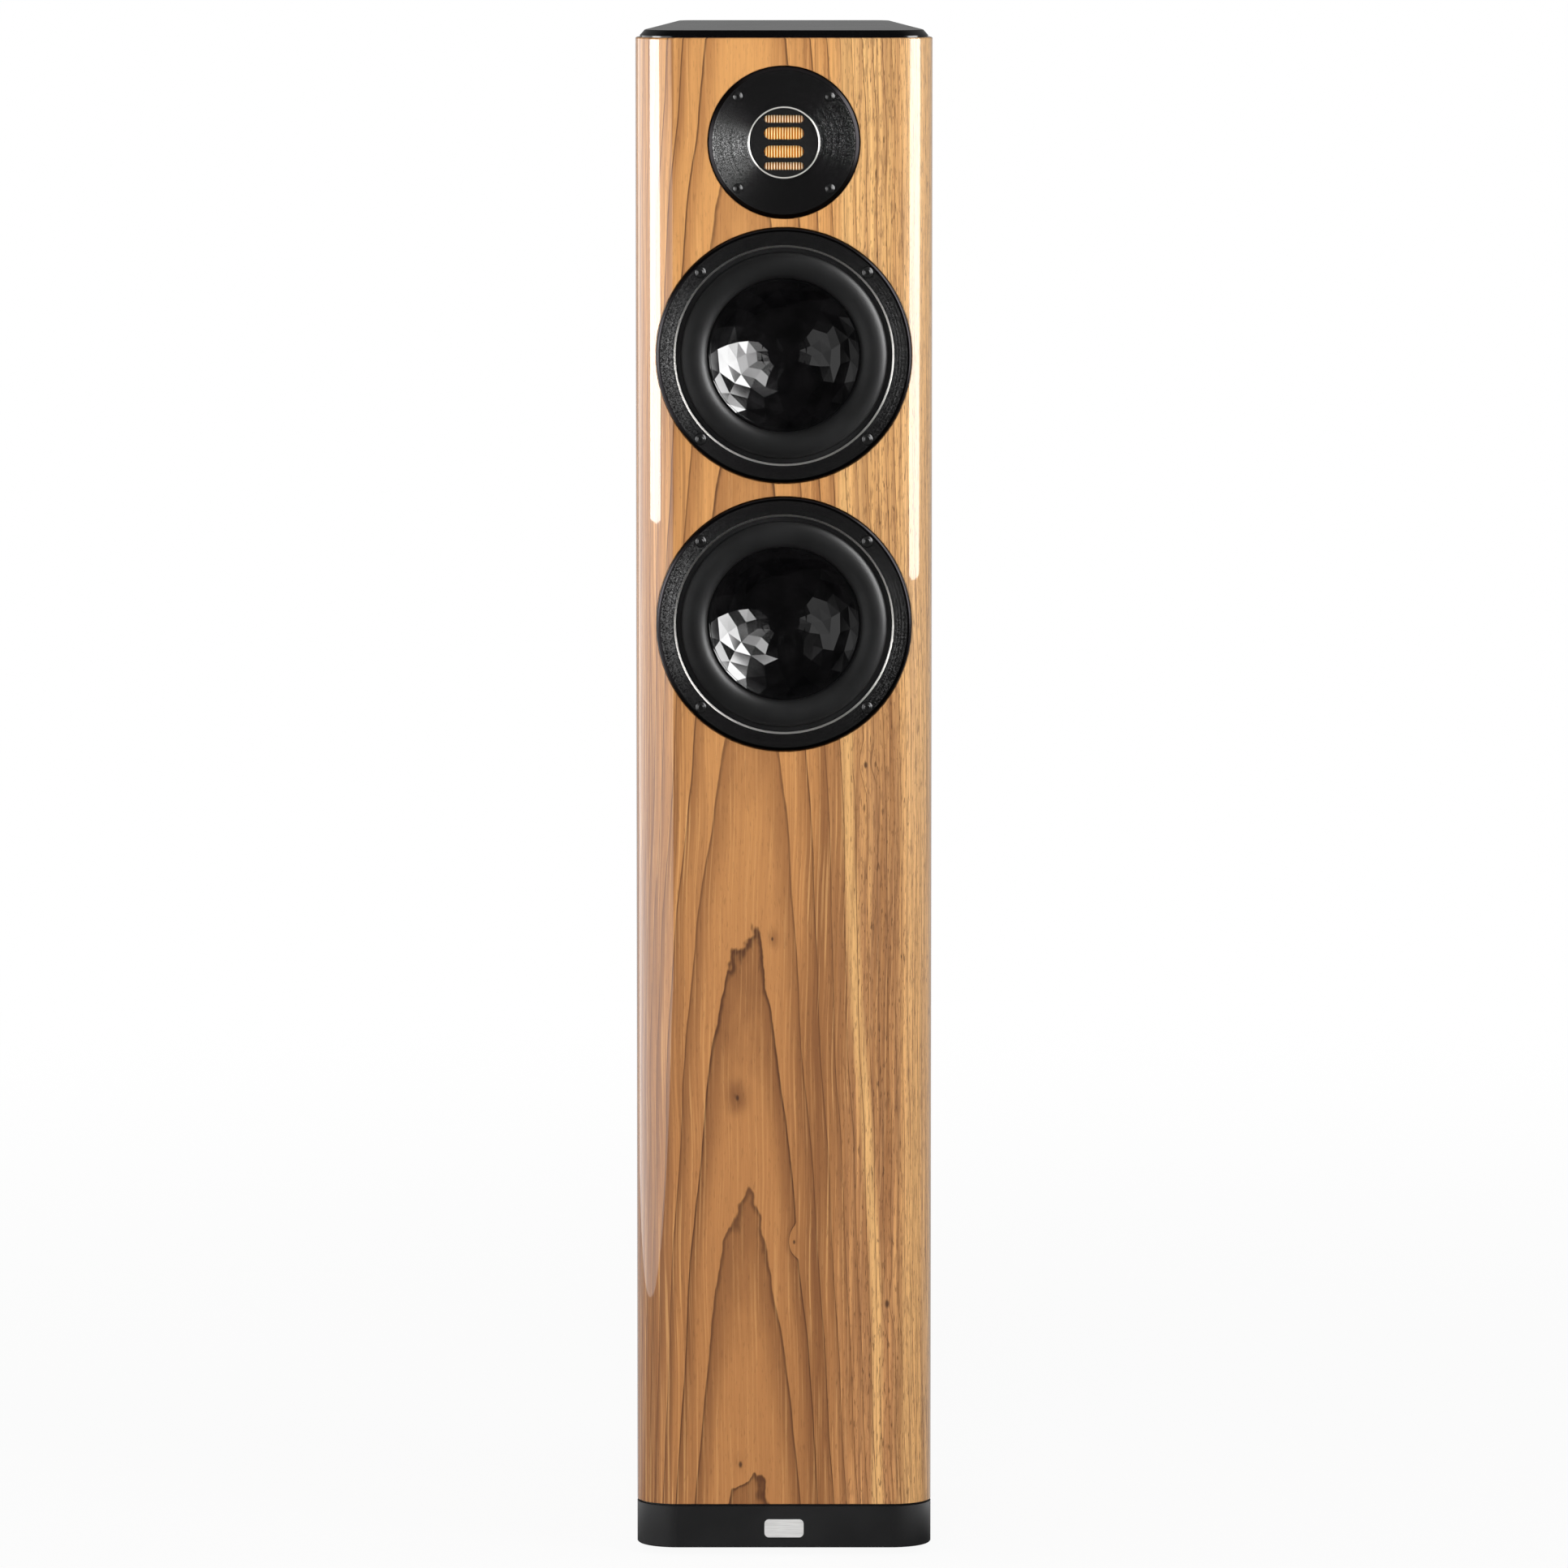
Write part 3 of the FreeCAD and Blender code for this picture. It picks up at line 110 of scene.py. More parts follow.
# ------------------------------------------------------------------ meshes
def grid_faces(rows, columns, ring_rows, ring_columns):
    """Quads of a grid of points: each joins a point, its neighbour along the row and the same two
    in the next row. A ringed direction closes on itself."""
    i, j = np.meshgrid(
        np.arange(rows if ring_rows else rows - 1),
        np.arange(columns if ring_columns else columns - 1),
        indexing="ij",
    )
    near, far, right = i * columns, (i + 1) % rows * columns, (j + 1) % columns
    return np.stack([near + j, near + right, far + right, far + j], -1).reshape(-1, 4)


def joined(*shells):
    """Several (points, faces) shells as one; faces count on from the points before them."""
    points, faces, count = [], [], 0
    for shell_points, shell_faces in shells:
        points.append(shell_points)
        faces += [[count + v for v in face] for face in shell_faces]
        count += len(shell_points)
    return np.concatenate(points), faces


def new_piece(name, shell, slot, body, replaced, crease=30):
    """A mesh object at the origin from one (points, faces) shell, its doubles merged and its
    faces turned outwards."""
    points, faces = shell
    mesh = bpy.data.meshes.new(name)
    mesh.from_pydata(np.asarray(points).tolist(), [], [list(map(int, face)) for face in faces])
    work = bmesh.new()
    work.from_mesh(mesh)
    bmesh.ops.remove_doubles(work, verts=work.verts, dist=0.001 * MM)
    bmesh.ops.recalc_face_normals(work, faces=work.faces)
    work.to_mesh(mesh)
    work.free()
    mesh.shade_smooth()
    mesh.set_sharp_from_angle(angle=math.radians(crease))
    mesh.materials.append(FINISHES[slot])
    piece = bpy.data.objects.new(name, mesh)
    bpy.context.scene.collection.objects.link(piece)
    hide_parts(replaced)
    if body:
        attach(piece, body)
    return piece


def rounded(corners, ring=True, steps=5):
    """A line through corners of (across, along) or (across, along, rounding). A rounding is the
    arc that touches both sides of its corner: its centre is rounding / sin(half the corner's
    angle) along the bisector."""
    line = []
    for k, corner in enumerate(corners):
        point = np.array(corner[:2], float)
        if len(corner) < 3 or (not ring and k in (0, len(corners) - 1)):
            line.append(point)
            continue
        back = np.array(corners[k - 1][:2]) - point
        on = np.array(corners[(k + 1) % len(corners)][:2]) - point
        back, on = back / np.linalg.norm(back), on / np.linalg.norm(on)
        half = math.acos(float(np.clip(back @ on, -1, 1))) / 2
        bisector = (back + on) / np.linalg.norm(back + on)
        centre = point + bisector * corner[2] / math.sin(half)
        start = point + back * corner[2] / math.tan(half) - centre
        end = point + on * corner[2] / math.tan(half) - centre
        sweep = math.pi - 2 * half
        t = np.linspace(0, 1, steps + 1)[:, None]
        line += list(
            centre + (np.sin((1 - t) * sweep) * start + np.sin(t * sweep) * end) / math.sin(sweep)
        )
    return np.array(line)


def turned(profile, centre, ring=True, steps=192):
    """A profile of (radius, depth) turned about a driver's axis: point (i, j) is the centre
    + radius_i (cos a_j, 0, sin a_j) + depth_i along Y, with a_j evenly round the circle."""
    angle = np.linspace(0, 2 * math.pi, steps, endpoint=False)
    radius, depth = np.asarray(profile).T[..., None]
    points = np.stack(
        [
            centre.x + radius * np.cos(angle),
            FRONT + depth + 0 * angle,
            centre.z + radius * np.sin(angle),
        ],
        -1,
    )
    return points.reshape(-1, 3), grid_faces(len(profile), steps, ring, True)


def cabinet_plan(inset, steps):
    """The cabinet seen from above, moved in by a distance: two sides that lean in to the rear,
    round corners."""
    side_at_front = HALF_WIDTH + FRONT_CORNER * (
        math.tan(SIDE_TAPER) + 1 / math.cos(SIDE_TAPER) - 1
    )
    front, rear = FRONT + inset, REAR - inset
    at_front = side_at_front - inset * math.tan(SIDE_TAPER) - inset / math.cos(SIDE_TAPER)
    at_rear = at_front - (rear - front) * math.tan(SIDE_TAPER)
    return rounded(
        [
            (at_front, front, FRONT_CORNER - inset),
            (at_rear, rear, REAR_CORNER - inset),
            (-at_rear, rear, REAR_CORNER - inset),
            (-at_front, front, FRONT_CORNER - inset),
        ],
        steps=steps,
    )


def stacked_plans(layers, steps=32):
    """A solid of cabinet plans one above the other: layer i is the plan moved in by inset_i at
    height z_i, and the first and last plans are its lids."""
    rings = [np.insert(cabinet_plan(inset, steps), 2, z, axis=1) for inset, z in layers]
    around = len(rings[0])
    faces = grid_faces(len(rings), around, False, True).tolist()
    last = (len(rings) - 1) * around
    faces += [list(range(around)), list(range(last, last + around))]
    return np.concatenate(rings), faces


# ------------------------------------------------------------------ finishes
class Reading:
    """A value or colour read off a node, so that a finish is written as a sum."""

    def __init__(self, nodes, socket):
        self.nodes, self.socket = nodes, socket

    def other(self, output):
        """Another output of the same node."""
        return Reading(self.nodes, self.socket.node.outputs[output])

    def _sum(self, operation, first, second=0.0):
        return self.nodes.node("Math", {0: first, 1: second}, operation=operation)

    def __add__(self, other):
        return self._sum("ADD", self, other)

    def __sub__(self, other):
        return self._sum("SUBTRACT", self, other)

    def __rsub__(self, other):
        return self._sum("SUBTRACT", other, self)

    def __mul__(self, other):
        return self._sum("MULTIPLY", self, other)

    def __truediv__(self, other):
        return self._sum("DIVIDE", self, other)

    def __pow__(self, other):
        return self._sum("POWER", self, other)

    def __abs__(self):
        return self._sum("ABSOLUTE", self)

    __radd__, __rmul__ = __add__, __mul__

    def fraction(self):
        return self._sum("FRACT", self)

    def floor(self):
        return self._sum("FLOOR", self)

    def sign(self):
        return self._sum("SIGN", self)

    def sine(self):
        return self._sum("SINE", self)

    def least(self, other):
        return self._sum("MINIMUM", self, other)

    def most(self, other):
        return self._sum("MAXIMUM", self, other)

    def pingpong(self, length):
        return self._sum("PINGPONG", self, length)

    def between(self, low, high, to_low=0.0, to_high=1.0):
        """to_low up to low, to_high from high, and a smooth step between them."""
        return self.nodes.node(
            "MapRange",
            {0: self, 1: low, 2: high, 3: to_low, 4: to_high},
            interpolation_type="SMOOTHSTEP",
        )


class Nodes:
    """The node tree of a material or of the world, built anew."""

    def __init__(self, owner):
        owner.use_nodes = True
        self.tree = owner.node_tree
        self.tree.nodes.clear()

    def node(self, kind, inputs=None, output=0, stops=None, **settings):
        """Adds a node: its settings first, then the values or readings of its sockets. Gives one
        output's reading, if it has any."""
        made = self.tree.nodes.new("ShaderNode" + kind)
        for name, value in settings.items():
            setattr(made, name, value)
        if stops:
            points = made.color_ramp.elements
            while len(points) < len(stops):
                points.new(1.0)
            for point, (position, colour) in zip(points, stops):
                point.position, point.color = position, (*colour, 1.0)
        for socket, value in (inputs or {}).items():
            if isinstance(value, Reading):
                self.tree.links.new(value.socket, made.inputs[socket])
            else:
                made.inputs[socket].default_value = value
        return Reading(self, made.outputs[output]) if made.outputs else None

    def split(self, vector):
        x = self.node("SeparateXYZ", {0: vector})
        return x, x.other(1), x.other(2)


class Finish(Nodes):
    """One material, named for its slot."""

    def __init__(self, slot):
        self.material = bpy.data.materials.new(slot + "_finish")
        super().__init__(self.material)
        self.place = self.node("TexCoord", output="Object")
        self.x, self.y, self.z = self.split(self.place)

    def joined(self, x, y, z):
        return self.node("CombineXYZ", {0: x, 1: y, 2: z})

    def noise(self, scale, detail=2.0, stretch=(1, 1, 1), where=None, rough=0.5):
        """Soft noise from 0 to 1 about 0.5, its cells 1 / scale metres, divided by stretch's
        parts."""
        at = self.node("Mapping", {"Vector": where or self.place, "Scale": stretch})
        return self.node(
            "TexNoise", {"Vector": at, "Scale": scale, "Detail": detail, "Roughness": rough}
        )

    def blend(self, amount, first, second, how="MIX"):
        """A colour from first at 0 to second at 1."""
        first, second = ((*c, 1.0) if isinstance(c, tuple) else c for c in (first, second))
        return self.node(
            "Mix", {0: amount, 6: first, 7: second}, output=2, data_type="RGBA", blend_type=how
        )

    def ramp(self, amount, *stops):
        return self.node("ValToRGB", {0: amount}, stops=stops)

    def bump(self, height, depth, strength=1.0):
        return self.node("Bump", {"Height": height, "Distance": depth, "Strength": strength})

    def radius(self, centre):
        """Distance from a line along Y through the centre."""
        across, up = self.x - centre.x, self.z - centre.z
        return (across * across + up * up) ** 0.5

    def surface(self, **sockets):
        """The finished surface, each keyword a socket of its shader with _ for a space."""
        inputs = {name.replace("_", " "): value for name, value in sockets.items()}
        inputs = {
            name: (*value, 1.0) if isinstance(value, tuple) else value
            for name, value in inputs.items()
        }
        self.node("OutputMaterial", {0: self.node("BsdfPrincipled", inputs)})
        return self.material


def scaled(colour, share):
    """A colour times a share, with no channel past 1."""
    return tuple(min(1.0, c * share) for c in colour)


# growth rings of the veneer: nested arches up the front, straight grain to its right
ARCH_MIDDLE = -27 * MM
ARCH_WIDTH = 1150 * MM * MM     # how fast the rings close up sideways
ARCH_RISE = 183 * MM            # height from one arch to the next
ARCH_START = 3.62               # rings already passed at height 0
STRAIGHT_FROM = 105 * MM        # beyond this the rings run evenly
RIGHT_PART = (22 * MM, 62 * MM)     # the arches give way to striped wood over this span
FLANKS = (14 * MM, 52 * MM)         # from the arches' calm middle to their streaked flanks
LEAF = 140 * MM                 # half a veneer leaf, which is then mirrored
PIN_KNOTS = [                   # across and up the front, and radius
    (-32 * MM, 318 * MM, 2.2 * MM),
    (7 * MM, 218 * MM, 1.6 * MM),
    (71 * MM, 175 * MM, 3.0 * MM),
    (-30 * MM, 63 * MM, 2.4 * MM),
    (-8 * MM, 428 * MM, 1.5 * MM),
    (56 * MM, 548 * MM, 2.4 * MM),
]
PALE_WOOD = (0.455, 0.198, 0.064), (0.70, 0.340, 0.108)         # low, and high up, where painted light makes every wood colour lighter
BROWN_WOOD = (0.225, 0.088, 0.029), (0.42, 0.180, 0.055)
STRIPED_WOOD = (0.300, 0.140, 0.060), (0.62, 0.330, 0.135)
RIGHT_WOOD = (0.66, 0.320, 0.120), (0.95, 0.570, 0.220)
# pale sapwood colour, also laid on the right corner and side as painted light
SAPWOOD_AND_SIDE_LIGHT = (0.88, 0.52, 0.20)
RING_LINE = (0.085, 0.030, 0.011)
DARK_BAND = (0.20, 0.075, 0.025)
DARK_FIBRE = (0.16, 0.060, 0.021)
LIGHT_FIBRE = (0.92, 0.52, 0.20)
DASH = (0.13, 0.054, 0.024)
PORE = (0.060, 0.022, 0.009)
KNOT = (0.05, 0.02, 0.01)


def walnut_veneer():
    """Rings n = across^2 / ARCH_WIDTH + up / ARCH_RISE give arches; noise bends them, and across
    is folded at each leaf's edge so that neighbouring leaves mirror. Lacquer lies smooth over
    the grain."""
    f = Finish("walnut_veneer")
    around = f.x + f.x.sign() * (f.y - FRONT)
    leaf = (around - ARCH_MIDDLE + LEAF).pingpong(2 * LEAF) - LEAF
    flat = f.joined(leaf, 0.0, f.z)
    wander = f.noise(2.6, 2, where=flat, stretch=(0.5, 1, 1)) - 0.5
    sway = f.noise(16, 3, where=flat, stretch=(1, 1, 0.22)) - 0.5
    jag = f.noise(70, 3, where=flat, stretch=(1, 1, 0.45)) - 0.5
    across = leaf + wander * (28 * MM) + sway * (8 * MM)
    near = abs(across).least(STRAIGHT_FROM)
    rings = near * near / ARCH_WIDTH + (abs(across) - near) * (2 * STRAIGHT_FROM / ARCH_WIDTH)
    rings = rings + f.z / ARCH_RISE + jag * near.between(4 * MM, 26 * MM, 0.52, 0.10) + ARCH_START
    knot_shade = 0.0
    for place, up, size in PIN_KNOTS:
        far = ((around - place) * (around - place) + (f.z - up) * (f.z - up) * 0.3) ** 0.5
        rings = rings + far.between(0.0, 5 * size, 0.55, 0.0)
        knot_shade = far.between(0.2 * size, 0.75 * size, 0.85, 0.0) + knot_shade

    # through one ring: pale early wood, darkening late wood, its dark line
    season = rings.fraction()
    mood = f.noise(1.0, 1, where=f.joined(rings.floor() * 3.7, f.z * 0.8, 0.0))
    late = season.between(0.30, 0.93) * season.between(0.965, 1.0, 1.0, 0.0)
    line = season.between(0.885, 0.962) * season.between(0.966, 1.0, 1.0, 0.0)
    # parts of the front, and grain drawn out along it
    right = around.between(*RIGHT_PART)
    side = abs(across).between(*FLANKS)
    streak = f.noise(34, 3, where=f.joined(across, 0.0, f.z), stretch=(1, 1, 0.035))
    band = f.noise(170, 2, where=f.joined(across, 0.0, f.z), stretch=(1, 1, 0.02))
    fibre = f.noise(620, 3, where=f.joined(across, f.y, f.z), stretch=(1, 1, 0.012), rough=0.62)
    swayed = around + sway * (8 * MM)
    stripe = f.noise(430, 2, where=f.joined(swayed, 0.0, f.z), stretch=(1, 1, 0.012))
    dash = f.noise(620, 3, where=f.joined(swayed, f.y, f.z), stretch=(1, 1, 0.10), rough=0.6)
    pores = f.noise(1150, 2, where=f.joined(around, f.y, f.z), stretch=(1, 1, 0.11))
    pore = pores.between(0.60, 0.70) * (right * 0.45 + 0.22)

    # painted light: the wood's colours grow lighter towards the top, as if lit more from above
    painted_top_light = f.z.between(0.25, 1.0)
    pale = f.blend(painted_top_light, *PALE_WOOD)
    brown = f.blend(painted_top_light, *BROWN_WOOD)
    striped = f.blend(painted_top_light, *STRIPED_WOOD)
    right_pale = f.blend(painted_top_light, *RIGHT_WOOD)
    # a pale streak of sapwood along a line on the right, and painted light paling the right corner and side
    sap_line = f.z.between(0.08, 0.55, 66 * MM, 43 * MM)
    sapwood_and_side_light = abs(around - sap_line + sway * (10 * MM)).between(1.5 * MM, 6 * MM, 0.65, 0.0)
    # painted light: from the right corner round the side, the wood pales halfway to the sapwood colour
    sapwood_and_side_light = (around + sway * (10 * MM)).between(74 * MM, 90 * MM, 0.0, 0.5) + sapwood_and_side_light
    colour = f.blend(
        streak.between(0.40, 0.70) * (side * 0.55 + 0.12), f.blend(right, pale, right_pale), brown
    )
    colour = f.blend(late * (mood * 0.40 + 0.62) * (1 - right * 0.6), colour, brown)
    colour = f.blend(right * stripe.between(0.40, 0.62, 0.05, 0.70), colour, striped)
    colour = f.blend(sapwood_and_side_light, colour, SAPWOOD_AND_SIDE_LIGHT)
    colour = f.blend(line * mood.between(0.25, 0.60, 0.45, 0.92), colour, RING_LINE)
    colour = f.blend(band.between(0.50, 0.68, 0.0, 0.42) * (side * 0.85 + 0.05), colour, DARK_BAND)
    colour = f.blend(fibre.between(0.46, 0.68, 0.0, 0.50) * (side * 0.5 + 0.25), colour, DARK_FIBRE)
    colour = f.blend(fibre.between(0.32, 0.48, 0.34, 0.0) * (side * 0.5 + 0.5), colour, LIGHT_FIBRE)
    colour = f.blend(dash.between(0.50, 0.66, 0.0, 0.45) * (right * 0.85 + 0.15), colour, DASH)
    colour = f.blend(pore, colour, PORE)
    colour = f.blend(knot_shade.least(0.9), colour, KNOT)
    lacquer_wave = f.noise(24, 2)
    return f.surface(
        Base_Color=colour,
        Roughness=fibre.between(0.3, 0.7, 0.38, 0.52),
        Coat_Weight=1.0,
        Coat_Roughness=0.02,
        Specular_IOR_Level=0.25,
        Normal=f.bump(fibre * 0.6 + lacquer_wave * 0.4, 0.05 * MM, 0.25),
    )


def plain(slot, colour, roughness, grain=900.0, grain_depth=0.02, tone=0.18, **more):
    """An even finish: slow changes of tone, and a fine grain in its height and roughness."""
    f = Finish(slot)
    slow = f.noise(22, 3)
    fine = f.noise(grain, 2)
    darker, lighter = scaled(colour, 1 - tone), scaled(colour, 1 + tone)
    return f.surface(
        Base_Color=f.blend((slow * 0.6 + fine * 0.4).between(0.3, 0.7), darker, lighter),
        Roughness=(slow * 0.5 + fine * 0.5).between(
            0.25, 0.75, roughness * 0.88, min(1.0, roughness * 1.12)
        ),
        Normal=f.bump(fine, grain_depth * MM, 0.5),
        **more,
    )


def brushed(slot, colour, roughness, along=(1, 1, 0.03), **more):
    """Drawn metal: fine lines along one direction, in its tone, height and roughness."""
    f = Finish(slot)
    line = f.noise(2600, 2, stretch=along)
    slow = f.noise(30, 2)
    return f.surface(
        Base_Color=f.blend(line.between(0.3, 0.7) * 0.6 + slow * 0.4, scaled(colour, 0.78), colour),
        Metallic=1.0,
        Roughness=line.between(0.25, 0.75, roughness * 0.8, roughness * 1.25),
        Normal=f.bump(line, 0.01 * MM, 0.4),
        **more,
    )


GROOVES = 40000                 # fine grooves of the lathe to a metre
BROAD_RINGS = 900
TURNED_SPREAD = math.tan(math.radians(15))      # how far the grooves' walls lean either way
TURNED_LEAN = math.tan(math.radians(4))         # and outwards on the whole
RIM_BLACK = (0.014, 0.013, 0.014)       # a plain turned rim that gives little back
FACEPLATE_BLACK = (0.0016, 0.0015, 0.0016), (0.0042, 0.0040, 0.0042)
FLANGE_BLACK = (0.0013, 0.0012, 0.0013), (0.0034, 0.0032, 0.0034)
CUT_METAL = (0.78, 0.75, 0.71), (0.95, 0.93, 0.90)


def turned_marks(f, across, up):
    """Lathe marks round a centre: their height from 0 to 1, and a normal that leans in and out
    along the radius from one fine groove to the next, so that light streaks straight across
    them."""
    radius = (across * across + up * up) ** 0.5
    cutter = f.node("TexWhiteNoise", {"W": (radius * GROOVES).floor()}, noise_dimensions="1D")
    wide = f.noise(1.0, 2, where=f.joined(radius * BROAD_RINGS, 0.0, 0.0)).between(0.25, 0.75)
    speck = f.noise(1300, 2).between(0.35, 0.65)
    lean = (cutter * 2 - 1) * TURNED_SPREAD * (wide + 0.35) + (speck - 0.5) * 0.30 + TURNED_LEAN
    x, y, z = f.split(f.node("NewGeometry", output="Normal"))
    leaning = f.joined(x + across / radius * lean, y, z + up / radius * lean)
    normal = f.node("VectorMath", {0: leaning}, operation="NORMALIZE")
    return wide * 0.6 + speck * 0.4, normal, (x, y, z)


def turned_black_aluminium():
    """Faceplate: black anodised, turned in fine rings, with a plainer rim."""
    f = Finish("turned_black_aluminium")
    marks, normal, flat = turned_marks(f, f.x - TWEETER.x, f.z - TWEETER.z)
    face = f.radius(TWEETER).between(*FACEPLATE_EDGE_R, 1.0, 0.0)
    return f.surface(
        Base_Color=f.blend(face, RIM_BLACK, f.blend(marks, *FACEPLATE_BLACK)),
        Metallic=1 - face,
        Roughness=face.between(0, 1, 0.30, 0.22),
        Specular_IOR_Level=1.0,
        Normal=f.blend(face, f.joined(*flat), normal),
    )


def black_aluminium():
    """Woofer frame: black, turned flange, and a bright cut chamfer round the mouth."""
    f = Finish("black_aluminium")
    upper, lower = WOOFERS["upper"], WOOFERS["lower"]
    halfway = (upper.z + lower.z) / 2
    centre = f.z.between(halfway - 1 * MM, halfway + 1 * MM, lower.z, upper.z)
    across, up = f.x - upper.x, f.z - centre
    radius = (across * across + up * up) ** 0.5
    marks, normal, flat = turned_marks(f, across, up)
    ahead = f.y.between(FRONT + FLANGE_FACE_U[0], FRONT + FLANGE_FACE_U[1], 1.0, 0.0)
    cut = radius.between(MOUTH_R - 0.05 * MM, MOUTH_R) * ahead
    cut_out = MOUTH_R + MOUTH_CHAMFER
    cut = cut * radius.between(cut_out, cut_out + 0.06 * MM, 1.0, 0.0)
    face = radius.between(*FLANGE_EDGE_R, 1.0, 0.0) * (1 - cut) * ahead
    black = f.blend(face, RIM_BLACK, f.blend(marks, *FLANGE_BLACK))
    return f.surface(
        Base_Color=f.blend(cut, black, f.blend(marks, *CUT_METAL)),
        Metallic=1 - face,
        Roughness=cut.between(0, 1, 0.26, 0.34),
        Specular_IOR_Level=0.85,
        Normal=f.blend(face, f.joined(*flat), normal),
    )


def black_cone():
    """Facets of glossy black metal with a faint mottle."""
    f = Finish("black_cone")
    slow, fine = f.noise(60, 2), f.noise(1400, 2)
    return f.surface(
        Base_Color=f.blend(
            slow.between(0.3, 0.7), (0.0014, 0.0014, 0.0016), (0.0036, 0.0034, 0.0038)
        ),
        Roughness=slow.between(0.3, 0.7, 0.13, 0.19),
        Specular_IOR_Level=0.62,
        Normal=f.bump(fine, 0.004 * MM, 0.6),
    )


def surround_rubber():
    """Soft black rubber: satin, finely pebbled, faintly dusty on the roll."""
    f = Finish("surround_rubber")
    slow, fine = f.noise(35, 3), f.noise(1600, 3)
    return f.surface(
        Base_Color=f.blend(
            slow.between(0.3, 0.7), (0.0062, 0.0062, 0.0065), (0.0105, 0.0105, 0.011)
        ),
        Roughness=fine.between(0.3, 0.7, 0.40, 0.52),
        Specular_IOR_Level=0.5,
        Normal=f.bump(fine, 0.015 * MM, 0.5),
    )


def membrane_film():
    """Amber film with metal traces; its colour follows the depth in the folds, with painted highlight on the
    crests and painted shade in the brown valleys.
    """
    f = Finish("membrane_film")
    front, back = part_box("tweeter_membrane")[0].y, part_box("tweeter_membrane")[1].y
    depth = (f.y - front) / (back - front)
    print_mark = f.noise(420, 2, stretch=(1, 1, 0.2))
    fold_light_and_shade = depth + (print_mark - 0.5) * 0.16
    # painted light and shade: near-white on the crests in front, dark brown deep in the valleys
    colour = f.ramp(
        fold_light_and_shade,
        (0.0, (1.0, 0.92, 0.62)),
        (0.20, (1.0, 0.72, 0.13)),
        (0.45, (0.85, 0.40, 0.015)),
        (0.90, (0.34, 0.12, 0.004)),
    )
    outer = abs(f.z - TWEETER.z).between(11 * MM, 13 * MM)
    # painted highlight on the crests and painted shade in the valleys of the outer rows
    colour = f.blend(outer * fold_light_and_shade.between(0.15, 0.40, 0.75, 0.0), colour, (1.0, 0.90, 0.74))
    colour = f.blend(outer * fold_light_and_shade.between(0.45, 0.80, 0.0, 0.65), colour, (0.10, 0.035, 0.004))
    return f.surface(
        Base_Color=colour,
        Roughness=print_mark.between(0.3, 0.7, 0.24, 0.36),
        Normal=f.bump(print_mark, 0.02 * MM, 0.5),
    )


def blank_badge():
    """Pale satin badge without any mark."""
    f = Finish("blank_badge")
    fine = f.noise(1800, 2, stretch=(0.06, 1, 1))
    return f.surface(
        Base_Color=f.blend(fine.between(0.3, 0.7), (0.74, 0.74, 0.73), (0.86, 0.86, 0.85)),
        Metallic=0.35,
        Roughness=fine.between(0.3, 0.7, 0.30, 0.40),
        Normal=f.bump(fine, 0.01 * MM, 0.5),
    )


def woven(slot, colour, pitch, roughness):
    """Cloth: two crossed waves of threads, for the spider, with painted shade darkening the hollows between
    them.
    """
    f = Finish(slot)
    warp = (f.x * (2 * math.pi / pitch)).sine()
    weft = (f.z * (2 * math.pi / pitch)).sine()
    weave = warp * weft * 0.5 + 0.5
    fuzz = f.noise(700, 3)
    return f.surface(
        # painted shade: darker where the weave dips, with a random fuzz of tone
        Base_Color=f.blend(weave * 0.7 + fuzz * 0.3, scaled(colour, 0.5), colour),
        Roughness=roughness,
        Normal=f.bump(weave + fuzz * 0.4, 0.15 * MM),
    )


def wound(slot, colour, pitch):
    """Enamelled wire wound side by side: waves across the winding, in its height and in its colour, where
    painted shade darkens the grooves between turns.
    """
    f = Finish(slot)
    turn = ((f.y + f.z * 0.2) * (2 * math.pi / pitch)).sine()
    tone = f.noise(300, 2)
    return f.surface(
        # painted shade: darker where the wave dips between turns, with a random tone
        Base_Color=f.blend((turn * 0.5 + 0.5) * 0.6 + tone * 0.4, scaled(colour, 0.45), colour),
        Metallic=1.0,
        Roughness=tone.between(0.3, 0.7, 0.22, 0.34),
        Normal=f.bump(turn, 0.05 * MM),
    )


def wood_board():
    """Bare board inside the cabinet: pressed chips and dust."""
    f = Finish("wood_board")
    chips = f.node("TexVoronoi", {"Vector": f.place, "Scale": 420.0})
    fine = f.noise(260, 4)
    return f.surface(
        Base_Color=f.blend(chips * 0.8 + fine * 0.4, (0.30, 0.19, 0.10), (0.56, 0.41, 0.25)),
        Roughness=fine.between(0.3, 0.7, 0.7, 0.9),
        Normal=f.bump(fine, 0.2 * MM, 0.5),
    )


